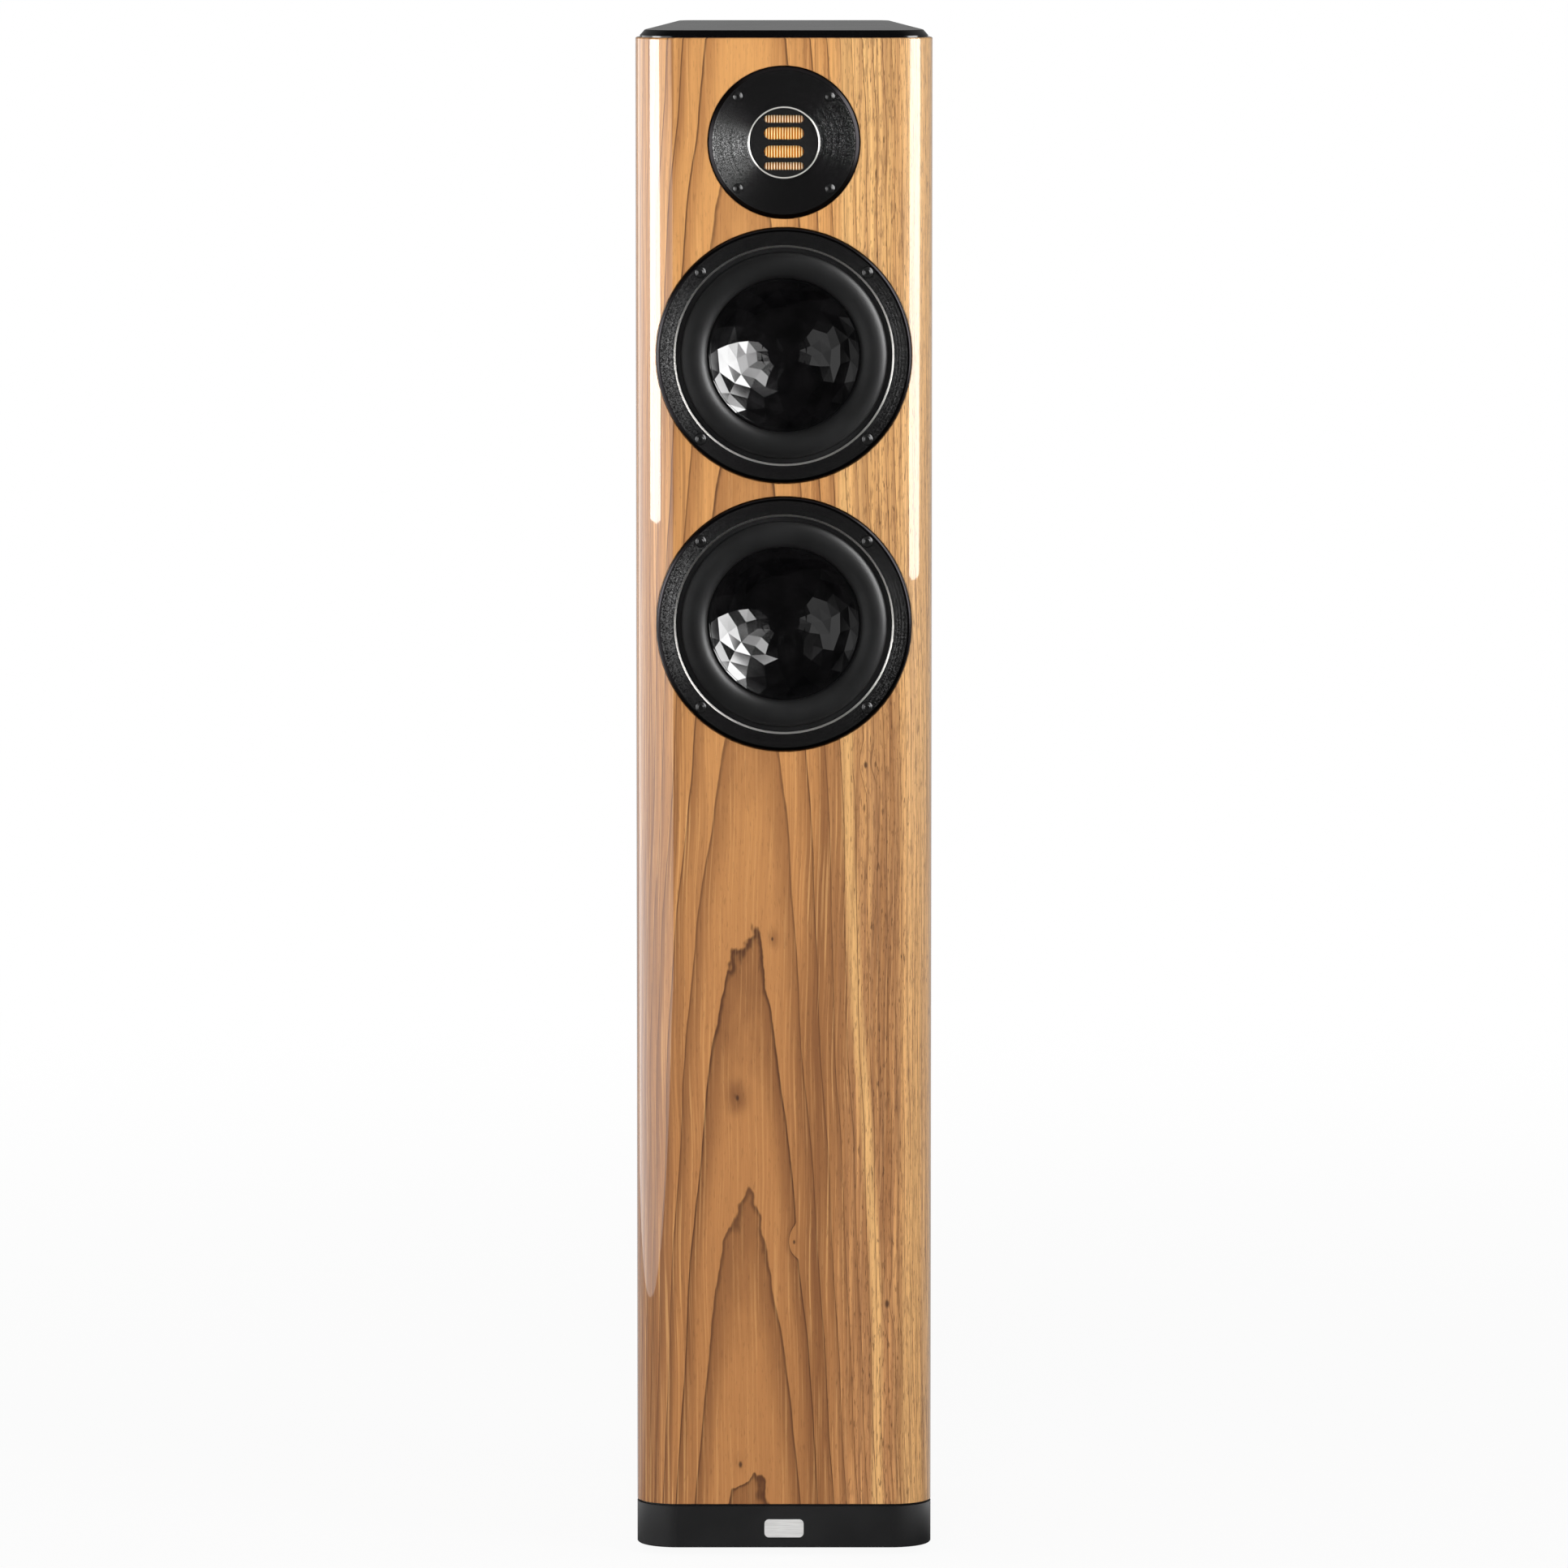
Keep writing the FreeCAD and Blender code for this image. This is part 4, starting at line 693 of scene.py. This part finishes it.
FINISHES = {
    "walnut_veneer": walnut_veneer(),
    "wood_board": wood_board(),
    "black_back": plain("black_back", (0.016, 0.016, 0.017), 0.42, 1100, 0.03),
    "gloss_black_plate": plain("gloss_black_plate", (0.0025, 0.0025, 0.0028), 0.16, 500, 0.002),
    "anthracite_plinth": plain(
        "anthracite_plinth", (0.0125, 0.0125, 0.0130), 0.36, 1500, 0.012, Specular_IOR_Level=0.35
    ),
    "black_gap": plain("black_gap", (0.008, 0.008, 0.008), 0.6),
    "black_aluminium": black_aluminium(),
    "turned_black_aluminium": turned_black_aluminium(),
    "surround_rubber": surround_rubber(),
    "black_cone": black_cone(),
    "copper_winding": wound("copper_winding", (0.80, 0.33, 0.14), 0.5 * MM),
    "spider_cloth": woven("spider_cloth", (0.62, 0.42, 0.16), 1.1 * MM, 0.85),
    "zinc_steel": plain("zinc_steel", (0.62, 0.63, 0.65), 0.30, 700, 0.02, Metallic=1.0),
    "black_steel": plain("black_steel", (0.010, 0.010, 0.010), 0.22, 1400, 0.01),
    "ferrite": plain("ferrite", (0.030, 0.030, 0.032), 0.62, 500, 0.08),
    "membrane_film": membrane_film(),
    "frame_laminate": plain("frame_laminate", (0.030, 0.022, 0.014), 0.5, 800, 0.02),
    "polished_ring": plain(
        "polished_ring", (0.80, 0.78, 0.74), 0.24, 2600, 0.004, 0.08, Metallic=0.45
    ),
    "blank_badge": blank_badge(),
    "gasket_foam": plain("gasket_foam", (0.02, 0.02, 0.02), 0.9, 600, 0.2),
    "wadding_fibre": plain("wadding_fibre", (0.60, 0.60, 0.57), 0.95, 240, 0.8),
    "moulded_black": plain("moulded_black", (0.014, 0.014, 0.014), 0.38, 1300, 0.03),
    "gold_plate": brushed("gold_plate", (0.90, 0.62, 0.24), 0.20, (1, 0.04, 1)),
    "red_ring": plain("red_ring", (0.48, 0.012, 0.010), 0.35, 1200, 0.01),
    "black_ring": plain("black_ring", (0.012, 0.012, 0.012), 0.35, 1200, 0.01),
    "foot_rubber": plain("foot_rubber", (0.016, 0.016, 0.017), 0.6, 900, 0.05),
    "board_laminate": plain("board_laminate", (0.02, 0.14, 0.05), 0.4, 900, 0.02),
    "film_capacitor": plain("film_capacitor", (0.55, 0.12, 0.03), 0.3, 300, 0.02),
    "resistor_ceramic": plain("resistor_ceramic", (0.62, 0.58, 0.48), 0.7, 900, 0.05),
    "nylon": plain("nylon", (0.75, 0.74, 0.70), 0.45, 900, 0.02),
    "wire_sleeve": plain("wire_sleeve", (0.03, 0.03, 0.035), 0.4, 900, 0.02),
}

for node in NODES.values():
    for k, old in enumerate(node.data.materials):
        node.data.materials[k] = FINISHES[old.name]


# ------------------------------------------------------------------ woofers
FACETS = 18                     # facets round the dish
FACET_RINGS_R = [r * MM for r in (51.2, 45.5, 39.0, 32.5, 26.0, 19.0, 11.0)]
FACET_SEED = 11
FACET_PUSH = 0.95               # largest push of a point, in mm
FULL_PUSH_R = 34 * MM           # the push fades towards the middle from here
EDGE_PUSH = 0.3                 # share of the push along the outermost ring
EDGE_SET_BACK = 1.0 * MM
RING_TWIST = 0.09               # radians from one ring to the next
MIDDLE_LIFT = 0.3 * MM


def dish_u(radius):
    """Depth of the dish, part of a sphere: bottom - sphere + sqrt(sphere^2 - radius^2)."""
    return DISH_BOTTOM_U - DISH_SPHERE + np.sqrt(DISH_SPHERE**2 - radius**2)


def faceted_sheet(centre):
    """Rings of points on the dish, each ring turned half a facet against the last and every
    point moved a little along the axis, joined by triangles down to one middle point."""
    draws = np.random.default_rng(FACET_SEED)
    points, faces = [], []
    counts = [2 * FACETS] + [FACETS] * (len(FACET_RINGS_R) - 1)
    for k, (radius, count) in enumerate(zip(FACET_RINGS_R, counts)):
        angle = (np.arange(count) + 0.5 * (k % 2)) * 2 * math.pi / count + RING_TWIST * k
        share = EDGE_PUSH if k == 0 else min(1.0, radius / FULL_PUSH_R)
        push = draws.uniform(-FACET_PUSH, FACET_PUSH, count) * MM * share
        depth = dish_u(radius) + push + (EDGE_SET_BACK if k == 0 else 0.0)
        points.append(np.stack([radius * np.cos(angle), depth, radius * np.sin(angle)], -1))
    starts = np.cumsum([0] + counts)
    j = np.arange(FACETS)
    right = (j + 1) % FACETS
    outer, inner = starts[0], starts[1]
    wide, beside = outer + 2 * j, outer + 2 * j + 1
    beyond = outer + (2 * j + 2) % counts[0]
    faces += np.stack([wide, beside, inner + j], -1).tolist()
    faces += np.stack([beside, beyond, inner + j], -1).tolist()
    faces += np.stack([beyond, inner + right, inner + j], -1).tolist()
    for k in range(1, len(FACET_RINGS_R) - 1):
        outer, inner = starts[k], starts[k + 1]
        mate = (j + k % 2) % FACETS
        far = (mate + 1) % FACETS
        faces += np.stack([outer + j, outer + right, inner + mate], -1).tolist()
        faces += np.stack([outer + right, inner + far, inner + mate], -1).tolist()
    last, middle_point = starts[-2:]
    faces += np.stack([last + j, last + right, np.full(FACETS, middle_point)], -1).tolist()
    points.append(np.array([[0.0, dish_u(0.0) - MIDDLE_LIFT, 0.0]]))
    points = np.concatenate(points) + [centre.x, FRONT, centre.z]
    return points, faces, counts[0]


def cone(side):
    """Faceted dish: the sheet, the same sheet set back by its thickness, a wall between their
    edges, a flat rim and the collar that holds the coil."""
    centre = WOOFERS[side]
    points, faces, around = faceted_sheet(centre)
    count = len(points)
    back = points + [0, CONE_T, 0]
    back_faces = [[count + v for v in face[::-1]] for face in faces]
    j = np.arange(around)
    right = (j + 1) % around
    wall = np.stack([j, j + count, right + count, right], -1).tolist()
    sheet = (np.concatenate([points, back]), faces + back_faces + wall)
    rim = rounded(
        [
            (RIM_IN_R, RIM_U, RIM_ROUND),
            (RIM_OUT_R, RIM_U, RIM_ROUND),
            (RIM_OUT_R, RIM_U + CONE_T),
            (RIM_IN_R, RIM_U + CONE_T),
        ]
    )
    inside, outside = COLLAR_R
    start, end = dish_u(outside) + COLLAR_SUNK, COLLAR_END_U
    collar = [(inside, start), (outside, start), (outside, end), (inside, end)]
    shell = joined(sheet, turned(rim, centre), turned(collar, centre, steps=96))
    name = f"{side}_woofer_cone"
    new_piece(name + "_facets", shell, "black_cone", f"{side}_cone", name, crease=1)


def stretch_between(piece, side, centre, fixed_r, moving_r):
    """The piece stretches from the basket to the cone: its share of the cone's travel grows
    smoothly, t^2 (3 - 2t), as its radius goes from the fixed edge to the moving one."""
    fixed = (centre.x + fixed_r, FRONT, centre.z)
    moving = (centre.x + moving_r, FRONT, centre.z)
    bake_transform(piece, "root", f"{side}_cone", start=fixed, end=moving)
    mesh = piece.data
    place = np.zeros(len(mesh.vertices) * 3)
    mesh.vertices.foreach_get("co", place)
    place = place.reshape(-1, 3)
    radius = np.hypot(place[:, 0] - centre.x, place[:, 2] - centre.z)
    t = np.clip((radius - fixed_r) / (moving_r - fixed_r), 0, 1)
    share = (t * t * (3 - 2 * t)).astype(np.float32)
    mesh.attributes["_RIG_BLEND"].data.foreach_set("value", share)


def surround(side):
    """Rubber half-roll: the upper half of an ellipse from the basket's ledge to the cone's rim,
    the same ellipse set back by the rubber's thickness, a landing outside and a lap inside."""
    centre = WOOFERS[side]
    rim_back = RIM_U + CONE_T
    landing = LEDGE_U - RUBBER
    t = np.linspace(0, math.pi, 41)
    apex_r, half = (ROLL_IN_R + ROLL_OUT_R) / 2, (ROLL_OUT_R - ROLL_IN_R) / 2
    base = landing + (LEDGE_U - landing) * (1 - np.cos(t)) / 2
    arch = (ROLL_APEX_U - landing) * np.sin(t)
    front = np.stack([apex_r + half * np.cos(t), base + arch], -1)
    thin = half - RUBBER
    back = np.stack([apex_r + thin * np.cos(t), base + RUBBER + arch], -1)
    profile = np.concatenate(
        [
            [(LANDING_R, landing)],
            front,
            [(ROLL_IN_R, rim_back), (LAP_R, rim_back)],
            [(LAP_R, rim_back + RUBBER), (ROLL_IN_R + RUBBER, rim_back + RUBBER)],
            back[::-1],
            [(ROLL_OUT_R - RUBBER, LEDGE_U), (LANDING_R, LEDGE_U)],
        ]
    )
    name = f"{side}_woofer_surround"
    piece = new_piece(
        name + "_roll", turned(profile, centre), "surround_rubber", None, name, crease=50
    )
    stretch_between(piece, side, centre, ROLL_OUT_R, ROLL_IN_R + RUBBER)


SPIDER_WAVES = 5
SPIDER_WAVE = 1.1 * MM
SPIDER_NECK_R = 20.0 * MM
SPIDER_FOOT_R = 46.0 * MM
CLOTH = 0.5 * MM


def spider(side):
    """Corrugated cloth disc: flat at the neck and the foot, and SPIDER_WAVES sine waves between
    them."""
    centre = WOOFERS[side]
    radius = np.linspace(SPIDER_NECK_R, SPIDER_FOOT_R, 81)
    along = (radius - SPIDER_NECK_R) / (SPIDER_FOOT_R - SPIDER_NECK_R)
    wave = np.sin(along * SPIDER_WAVES * 2 * math.pi)
    radius = np.concatenate([[SPIDER_R[0]], radius, [SPIDER_R[1]]])
    front = SPIDER_U + SPIDER_WAVE * np.concatenate([[0], wave, [0]])
    profile = np.concatenate(
        [np.stack([radius, front], -1), np.stack([radius[::-1], front[::-1] + CLOTH], -1)]
    )
    name = f"{side}_woofer_spider"
    piece = new_piece(
        name + "_disc", turned(profile, centre, steps=144), "spider_cloth", None, name, crease=50
    )
    stretch_between(piece, side, centre, SPIDER_FOOT_R, SPIDER_NECK_R)


for side in WOOFERS:
    cone(side)
    surround(side)
    spider(side)


# ------------------------------------------------------------------ tweeter
PLEATS = 16
PLEAT_STEPS = 24
FILM = 0.35 * MM
CREST = 0.8                     # power of the wave: under 1 its crests are flatter


def membrane():
    """Folded film: depth = middle - half height * a cosine of the place across with flatter
    crests, one wave to a pleat, and the same sheet again set back by its thickness."""
    low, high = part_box("tweeter_membrane")
    x = np.linspace(low.x, high.x, PLEATS * PLEAT_STEPS + 1)
    wave = np.cos((x - low.x) / (high.x - low.x) * PLEATS * 2 * math.pi)
    wave = np.sign(wave) * np.abs(wave) ** CREST
    half = (high.y - low.y - FILM) / 2
    y = low.y + half + half * wave
    z = np.linspace(low.z, high.z, 15)
    front = np.stack([np.tile(x, len(z)), np.tile(y, len(z)), np.repeat(z, len(x))], -1)
    front = front.reshape(len(z), len(x), 3)
    rows = np.concatenate([front, (front + [0, FILM, 0])[::-1]])
    faces = grid_faces(len(rows), len(x), True, False).tolist()
    count = len(x)
    k = np.arange(len(z) - 1)
    mate = len(rows) - 1 - k
    for column in (0, count - 1):
        edge = np.stack([k, k + 1, mate - 1, mate], -1) * count + column
        faces += edge.tolist()
    shell = rows.reshape(-1, 3), faces
    new_piece("tweeter_membrane_folds", shell, "membrane_film", "root", "tweeter_membrane")


membrane()


RING_WALL = 1.0 * MM
RING_ROUND = 0.45 * MM


def trim_ring():
    """Polished ring with a round front edge."""
    low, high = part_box("tweeter_trim_ring")
    outer = (high.x - low.x) / 2
    inner, ahead, back = outer - RING_WALL, low.y - FRONT, high.y - FRONT
    profile = rounded(
        [(inner, ahead, RING_ROUND), (outer, ahead, RING_ROUND), (outer, back), (inner, back)]
    )
    shell = turned(profile, TWEETER)
    new_piece(
        "tweeter_trim_ring_round", shell, "polished_ring", "root", "tweeter_trim_ring", crease=50
    )


trim_ring()


# ------------------------------------------------------------------ screws
SOCKET_DEPTH = 1.5 * MM
SOCKET_LIP = 0.08 * MM
POINT = 1.2 * MM                # length of the tapered tip
SCREW_TURNS = [math.pi / 4 + k * math.pi / 2 for k in range(4)]
WOOFER_SCREW = {
    "head_r": 3.9 * MM,
    "ahead": -3.0 * MM,
    "crown": 1.0 * MM,
    "socket": 3.0 * MM,
    "shank_r": 1.9 * MM,
    "head_back": 0.1 * MM,
}
TWEETER_SCREW = {
    "head_r": 3.3 * MM,
    "ahead": -2.9 * MM,
    "crown": 0.9 * MM,
    "socket": 2.5 * MM,
    "shank_r": 1.5 * MM,
    "head_back": -0.2 * MM,
}


def screw(x, z, head_r, ahead, crown, socket, shank_r, head_back, tip):
    """A crowned screw along Y: ring i has radius_i and depth_i. The crown is
    ahead + crown * (r / head)^2, the socket's rings are hexagons,
    radius = half its width / cos(angle from the nearest flat's middle)."""
    angle = np.linspace(0, 2 * math.pi, 48, endpoint=False)
    hexagon = socket / 2 / np.cos((angle + math.pi / 6) % (math.pi / 3) - math.pi / 6)
    dome = np.linspace(socket * 0.62, head_r, 7)
    rings = [(0 * angle, ahead + SOCKET_DEPTH), (hexagon, ahead + SOCKET_DEPTH)]
    rings += [(hexagon, ahead + SOCKET_LIP)]
    rings += [(r + 0 * angle, ahead + crown * (r / head_r) ** 2) for r in dome]
    rings += [(head_r + 0 * angle, head_back), (shank_r + 0 * angle, head_back)]
    rings += [(shank_r + 0 * angle, tip - POINT), (0 * angle, tip)]
    points = [
        np.stack([x + r * np.cos(angle), FRONT + u + 0 * angle, z + r * np.sin(angle)], -1)
        for r, u in rings
    ]
    return np.concatenate(points), grid_faces(len(rings), len(angle), False, True)


def screws_round(node, centres, shape):
    """Four crowned socket screws round each centre, on the circle of the CAD screws' box."""
    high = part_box(node)[1]
    circle = (high.x - shape["head_r"]) / math.cos(math.pi / 4)
    shells = [
        screw(
            centre.x + circle * math.cos(a),
            centre.z + circle * math.sin(a),
            tip=high.y - FRONT,
            **shape,
        )
        for centre in centres
        for a in SCREW_TURNS
    ]
    new_piece(node + "_crowned", joined(*shells), "black_steel", "root", node)


screws_round("woofer_screws", WOOFERS.values(), WOOFER_SCREW)
screws_round("tweeter_screws", [TWEETER], TWEETER_SCREW)


# ------------------------------------------------------------------ top plate
def top_plate():
    """Plate under a bevel: plans of the cabinet stepping in from the upright edge up the bevel,
    soft at each turn."""
    low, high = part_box("top_plate")
    inset = HALF_WIDTH - high.x
    edge, bevel, soft = 1.2 * MM, 3.4 * MM, 0.35 * MM
    line = rounded(
        [
            (inset, low.z),
            (inset, low.z + edge, soft),
            (inset + bevel, high.z, soft),
            (inset + bevel + 3 * MM, high.z),
        ],
        ring=False,
    )
    new_piece("top_plate_bevelled", stacked_plans(line), "gloss_black_plate", "root", "top_plate")


top_plate()


# ------------------------------------------------------------------ studio
CAMERA_BACK = 6.9               # lens to the cabinet's front plane
CAMERA_UP = 1.2308
CAMERA_PITCH = math.radians(5.759)
LENS = 232.37                   # in mm, on a sensor this wide
SENSOR = 36.0
FAR_CLIP = 300.0
FLOOR_R = 60
FLOOR_GAP = 0.2 * MM            # the floor lies this far under the pads
DIM_ROOM = 0.03                 # what mirrors see in front of the object
FLOOR_BRIGHTENS = (-0.15, 0.10)     # mirrors see the floor dim before this span of y
FLOOR_MIRRORED = 0.55               # and this much of it behind
ROOM_BRIGHTENS = (-0.15, 0.35)
ROOM_MIRRORED = (0.02, 0.27)
SOFT_ROOM = 0.34                    # light of the room on matt surfaces


def camera():
    lens = bpy.data.cameras.new("camera")
    lens.lens, lens.sensor_width = LENS, SENSOR
    lens.clip_end = FAR_CLIP
    eye = bpy.data.objects.new("camera", lens)
    eye.location = (0.0, FRONT - CAMERA_BACK, CAMERA_UP)
    eye.rotation_euler = (math.pi / 2 - CAMERA_PITCH, 0.0, 0.0)
    bpy.context.scene.collection.objects.link(eye)
    bpy.context.scene.camera = eye


def panel(name, place, facing, size, radiance, soft=True, shiny=True, spares=(), only=()):
    """A flat light at a place that faces a point. Power is radiance * pi * area. It reaches
    every piece but those it spares, or only the ones given."""
    width, height = size
    lamp = bpy.data.lights.new(name, "AREA")
    lamp.shape, lamp.size, lamp.size_y = "RECTANGLE", width, height
    lamp.energy = radiance * math.pi * width * height
    light = bpy.data.objects.new(name, lamp)
    light.location = place
    toward = Vector(facing) - Vector(place)
    light.rotation_euler = toward.to_track_quat("-Z", "Y").to_euler()
    light.visible_camera = False
    light.visible_diffuse = soft
    light.visible_glossy = shiny
    bpy.context.scene.collection.objects.link(light)
    if spares or only:
        chosen = bpy.data.collections.new(name + "_reach")
        for piece in spares or only:
            chosen.objects.link(bpy.data.objects[piece])
        for entry in chosen.collection_objects:
            entry.light_linking.link_state = "EXCLUDE" if spares else "INCLUDE"
        light.light_linking.receiver_collection = chosen


def white_where_seen(f, shaded, plain_white, mirrored):
    """Mostly plain white to the camera and glass, and to mirrors where mirrored is 1, with a
    dark room in them where it is 0; the shaded part keeps the object's shadow."""
    camera_ray = f.node("LightPath", output="Is Camera Ray")
    glossy = camera_ray.other("Is Glossy Ray")
    seen = camera_ray.most(camera_ray.other("Is Transmission Ray"))
    white = f.node("Emission", {0: (1, 1, 1, 1), 1: 1.0})
    dark = f.node("Emission", {0: (1, 1, 1, 1), 1: DIM_ROOM})
    pale = f.node("MixShader", {0: seen.most(glossy) * plain_white, 1: shaded, 2: white})
    return f.node("MixShader", {0: glossy * (1 - mirrored), 1: pale, 2: dark})


def floor():
    """A round pale floor just under the pads, dim to mirrors in front of the object."""
    f = Finish("floor")
    speck = f.noise(3, 2)
    shaded = f.node("BsdfDiffuse", {0: f.blend(speck, (0.86, 0.86, 0.86), (0.90, 0.90, 0.90))})
    far = (f.x * f.x + f.y * f.y) ** 0.5
    behind = f.y.between(*FLOOR_BRIGHTENS, 0.0, FLOOR_MIRRORED)
    seen = white_where_seen(f, shaded, far.between(0.5, 3.0, 0.93, 1.0), behind)
    f.node("OutputMaterial", {0: seen})
    angle = np.linspace(0, 2 * math.pi, 96, endpoint=False)
    mesh = bpy.data.meshes.new("floor")
    rim = [FLOOR_R * np.cos(angle), FLOOR_R * np.sin(angle), 0 * angle - FLOOR_GAP]
    mesh.from_pydata(np.stack(rim, -1).tolist(), [], [range(len(angle))])
    mesh.materials.append(f.material)
    ground = bpy.data.objects.new("floor", mesh)
    bpy.context.scene.collection.objects.link(ground)


def surroundings():
    """White behind everything the camera sees. Mirrors see white behind the object and a dim
    room in front; matt surfaces get an even, modest light."""
    world = bpy.data.worlds.new("studio")
    bpy.context.scene.world = world
    w = Nodes(world)
    y = w.split(w.node("TexCoord", output="Generated"))[1]
    behind = y.between(*ROOM_BRIGHTENS, *ROOM_MIRRORED)
    camera_ray = w.node("LightPath", output="Is Camera Ray")
    unseen = w.node("Mix", {0: camera_ray.other("Is Glossy Ray"), 2: SOFT_ROOM, 3: behind})
    strength = w.node("Mix", {0: camera_ray, 2: unseen, 3: 1.0})
    w.node("OutputWorld", {0: w.node("Background", {0: (1, 1, 1, 1), 1: strength})})


camera()
bpy.context.scene.view_settings.view_transform = "Standard"
surroundings()
floor()
DRIVER_SKINS = [
    f"{side}_woofer_{part}" for side in WOOFERS for part in ("cone_facets", "surround_roll")
]
CABINET = ["cabinet_shell", "top_plate_bevelled", "base_plinth"]
FRAMES = ["tweeter_faceplate", "tweeter_trim_ring_round"]
FRAMES += [f"{side}_woofer_basket" for side in WOOFERS]
SURROUNDS = [f"{side}_woofer_surround_roll" for side in WOOFERS]
WALL = {"facing": (0.0, -0.9, 0.55), "size": (4.6, 1.24)}
panel("left_wall", (-1.25, -1.0, 0.62), radiance=0.7, shiny=False, **WALL)
panel("left_wall_gleam", (-1.15, -1.0, 0.62), radiance=2.4, soft=False, spares=DRIVER_SKINS, **WALL)
BLIND = (0.4, 1.24)
for step, radiance in enumerate([1.1, 0.60, 1.0, 0.45, 0.9, 0.30]):
    along = -2.3 + BLIND[0] * step
    at, facing = (-1.2, along, 0.62), (0.0, along, 0.55)
    panel(f"left_blind_{step}", at, facing, BLIND, radiance, soft=False, only=DRIVER_SKINS)
panel(
    "left_strip", (-1.10, -0.62, 0.86), (-0.05, -0.1, 0.86),
    size=(0.62, 0.46), radiance=15.0, soft=False, spares=DRIVER_SKINS,
)
panel(
    "right_strip", (1.15, -0.52, 1.20), (0.08, -0.1, 0.9),
    size=(0.74, 1.30), radiance=12.0, soft=False,
)
panel(
    "cone_gleam", (1.25, -1.05, 1.35), (0.0, -0.1, 0.75),
    size=(1.3, 1.5), radiance=8.0, soft=False, spares=CABINET + FRAMES + SURROUNDS,
)
for name, x, radiance in (("plinth_right", 0.75, 2.4), ("plinth_left", -0.75, 1.0)):
    at, facing = (x, -0.1, 0.01), (x, -0.1, 1.0)
    panel(name, at, facing, (1.1, 1.6), radiance, soft=False, only=["base_plinth"])
panel(
    "ceiling", (0.0, -0.3, 2.6), (0.0, -0.3, 0.0),
    size=(2.4, 2.0), radiance=1.0, soft=False, spares=DRIVER_SKINS + CABINET[:2],
)
panel("right_fill", (1.7, -1.3, 1.3), (0.0, -0.1, 0.8), (1.0, 1.6), 3.0, shiny=False)
panel(
    "membrane_fill", (0.3, -4.2, 1.35), (0.0, 0.0, 0.97),
    size=(1.0, 0.8), radiance=100.0, only=["tweeter_membrane_folds"],
)
panel("front_fill", (-0.5, -5.6, 1.5), (0.0, 0.0, 0.7), (1.6, 1.2), 24.0, shiny=False)
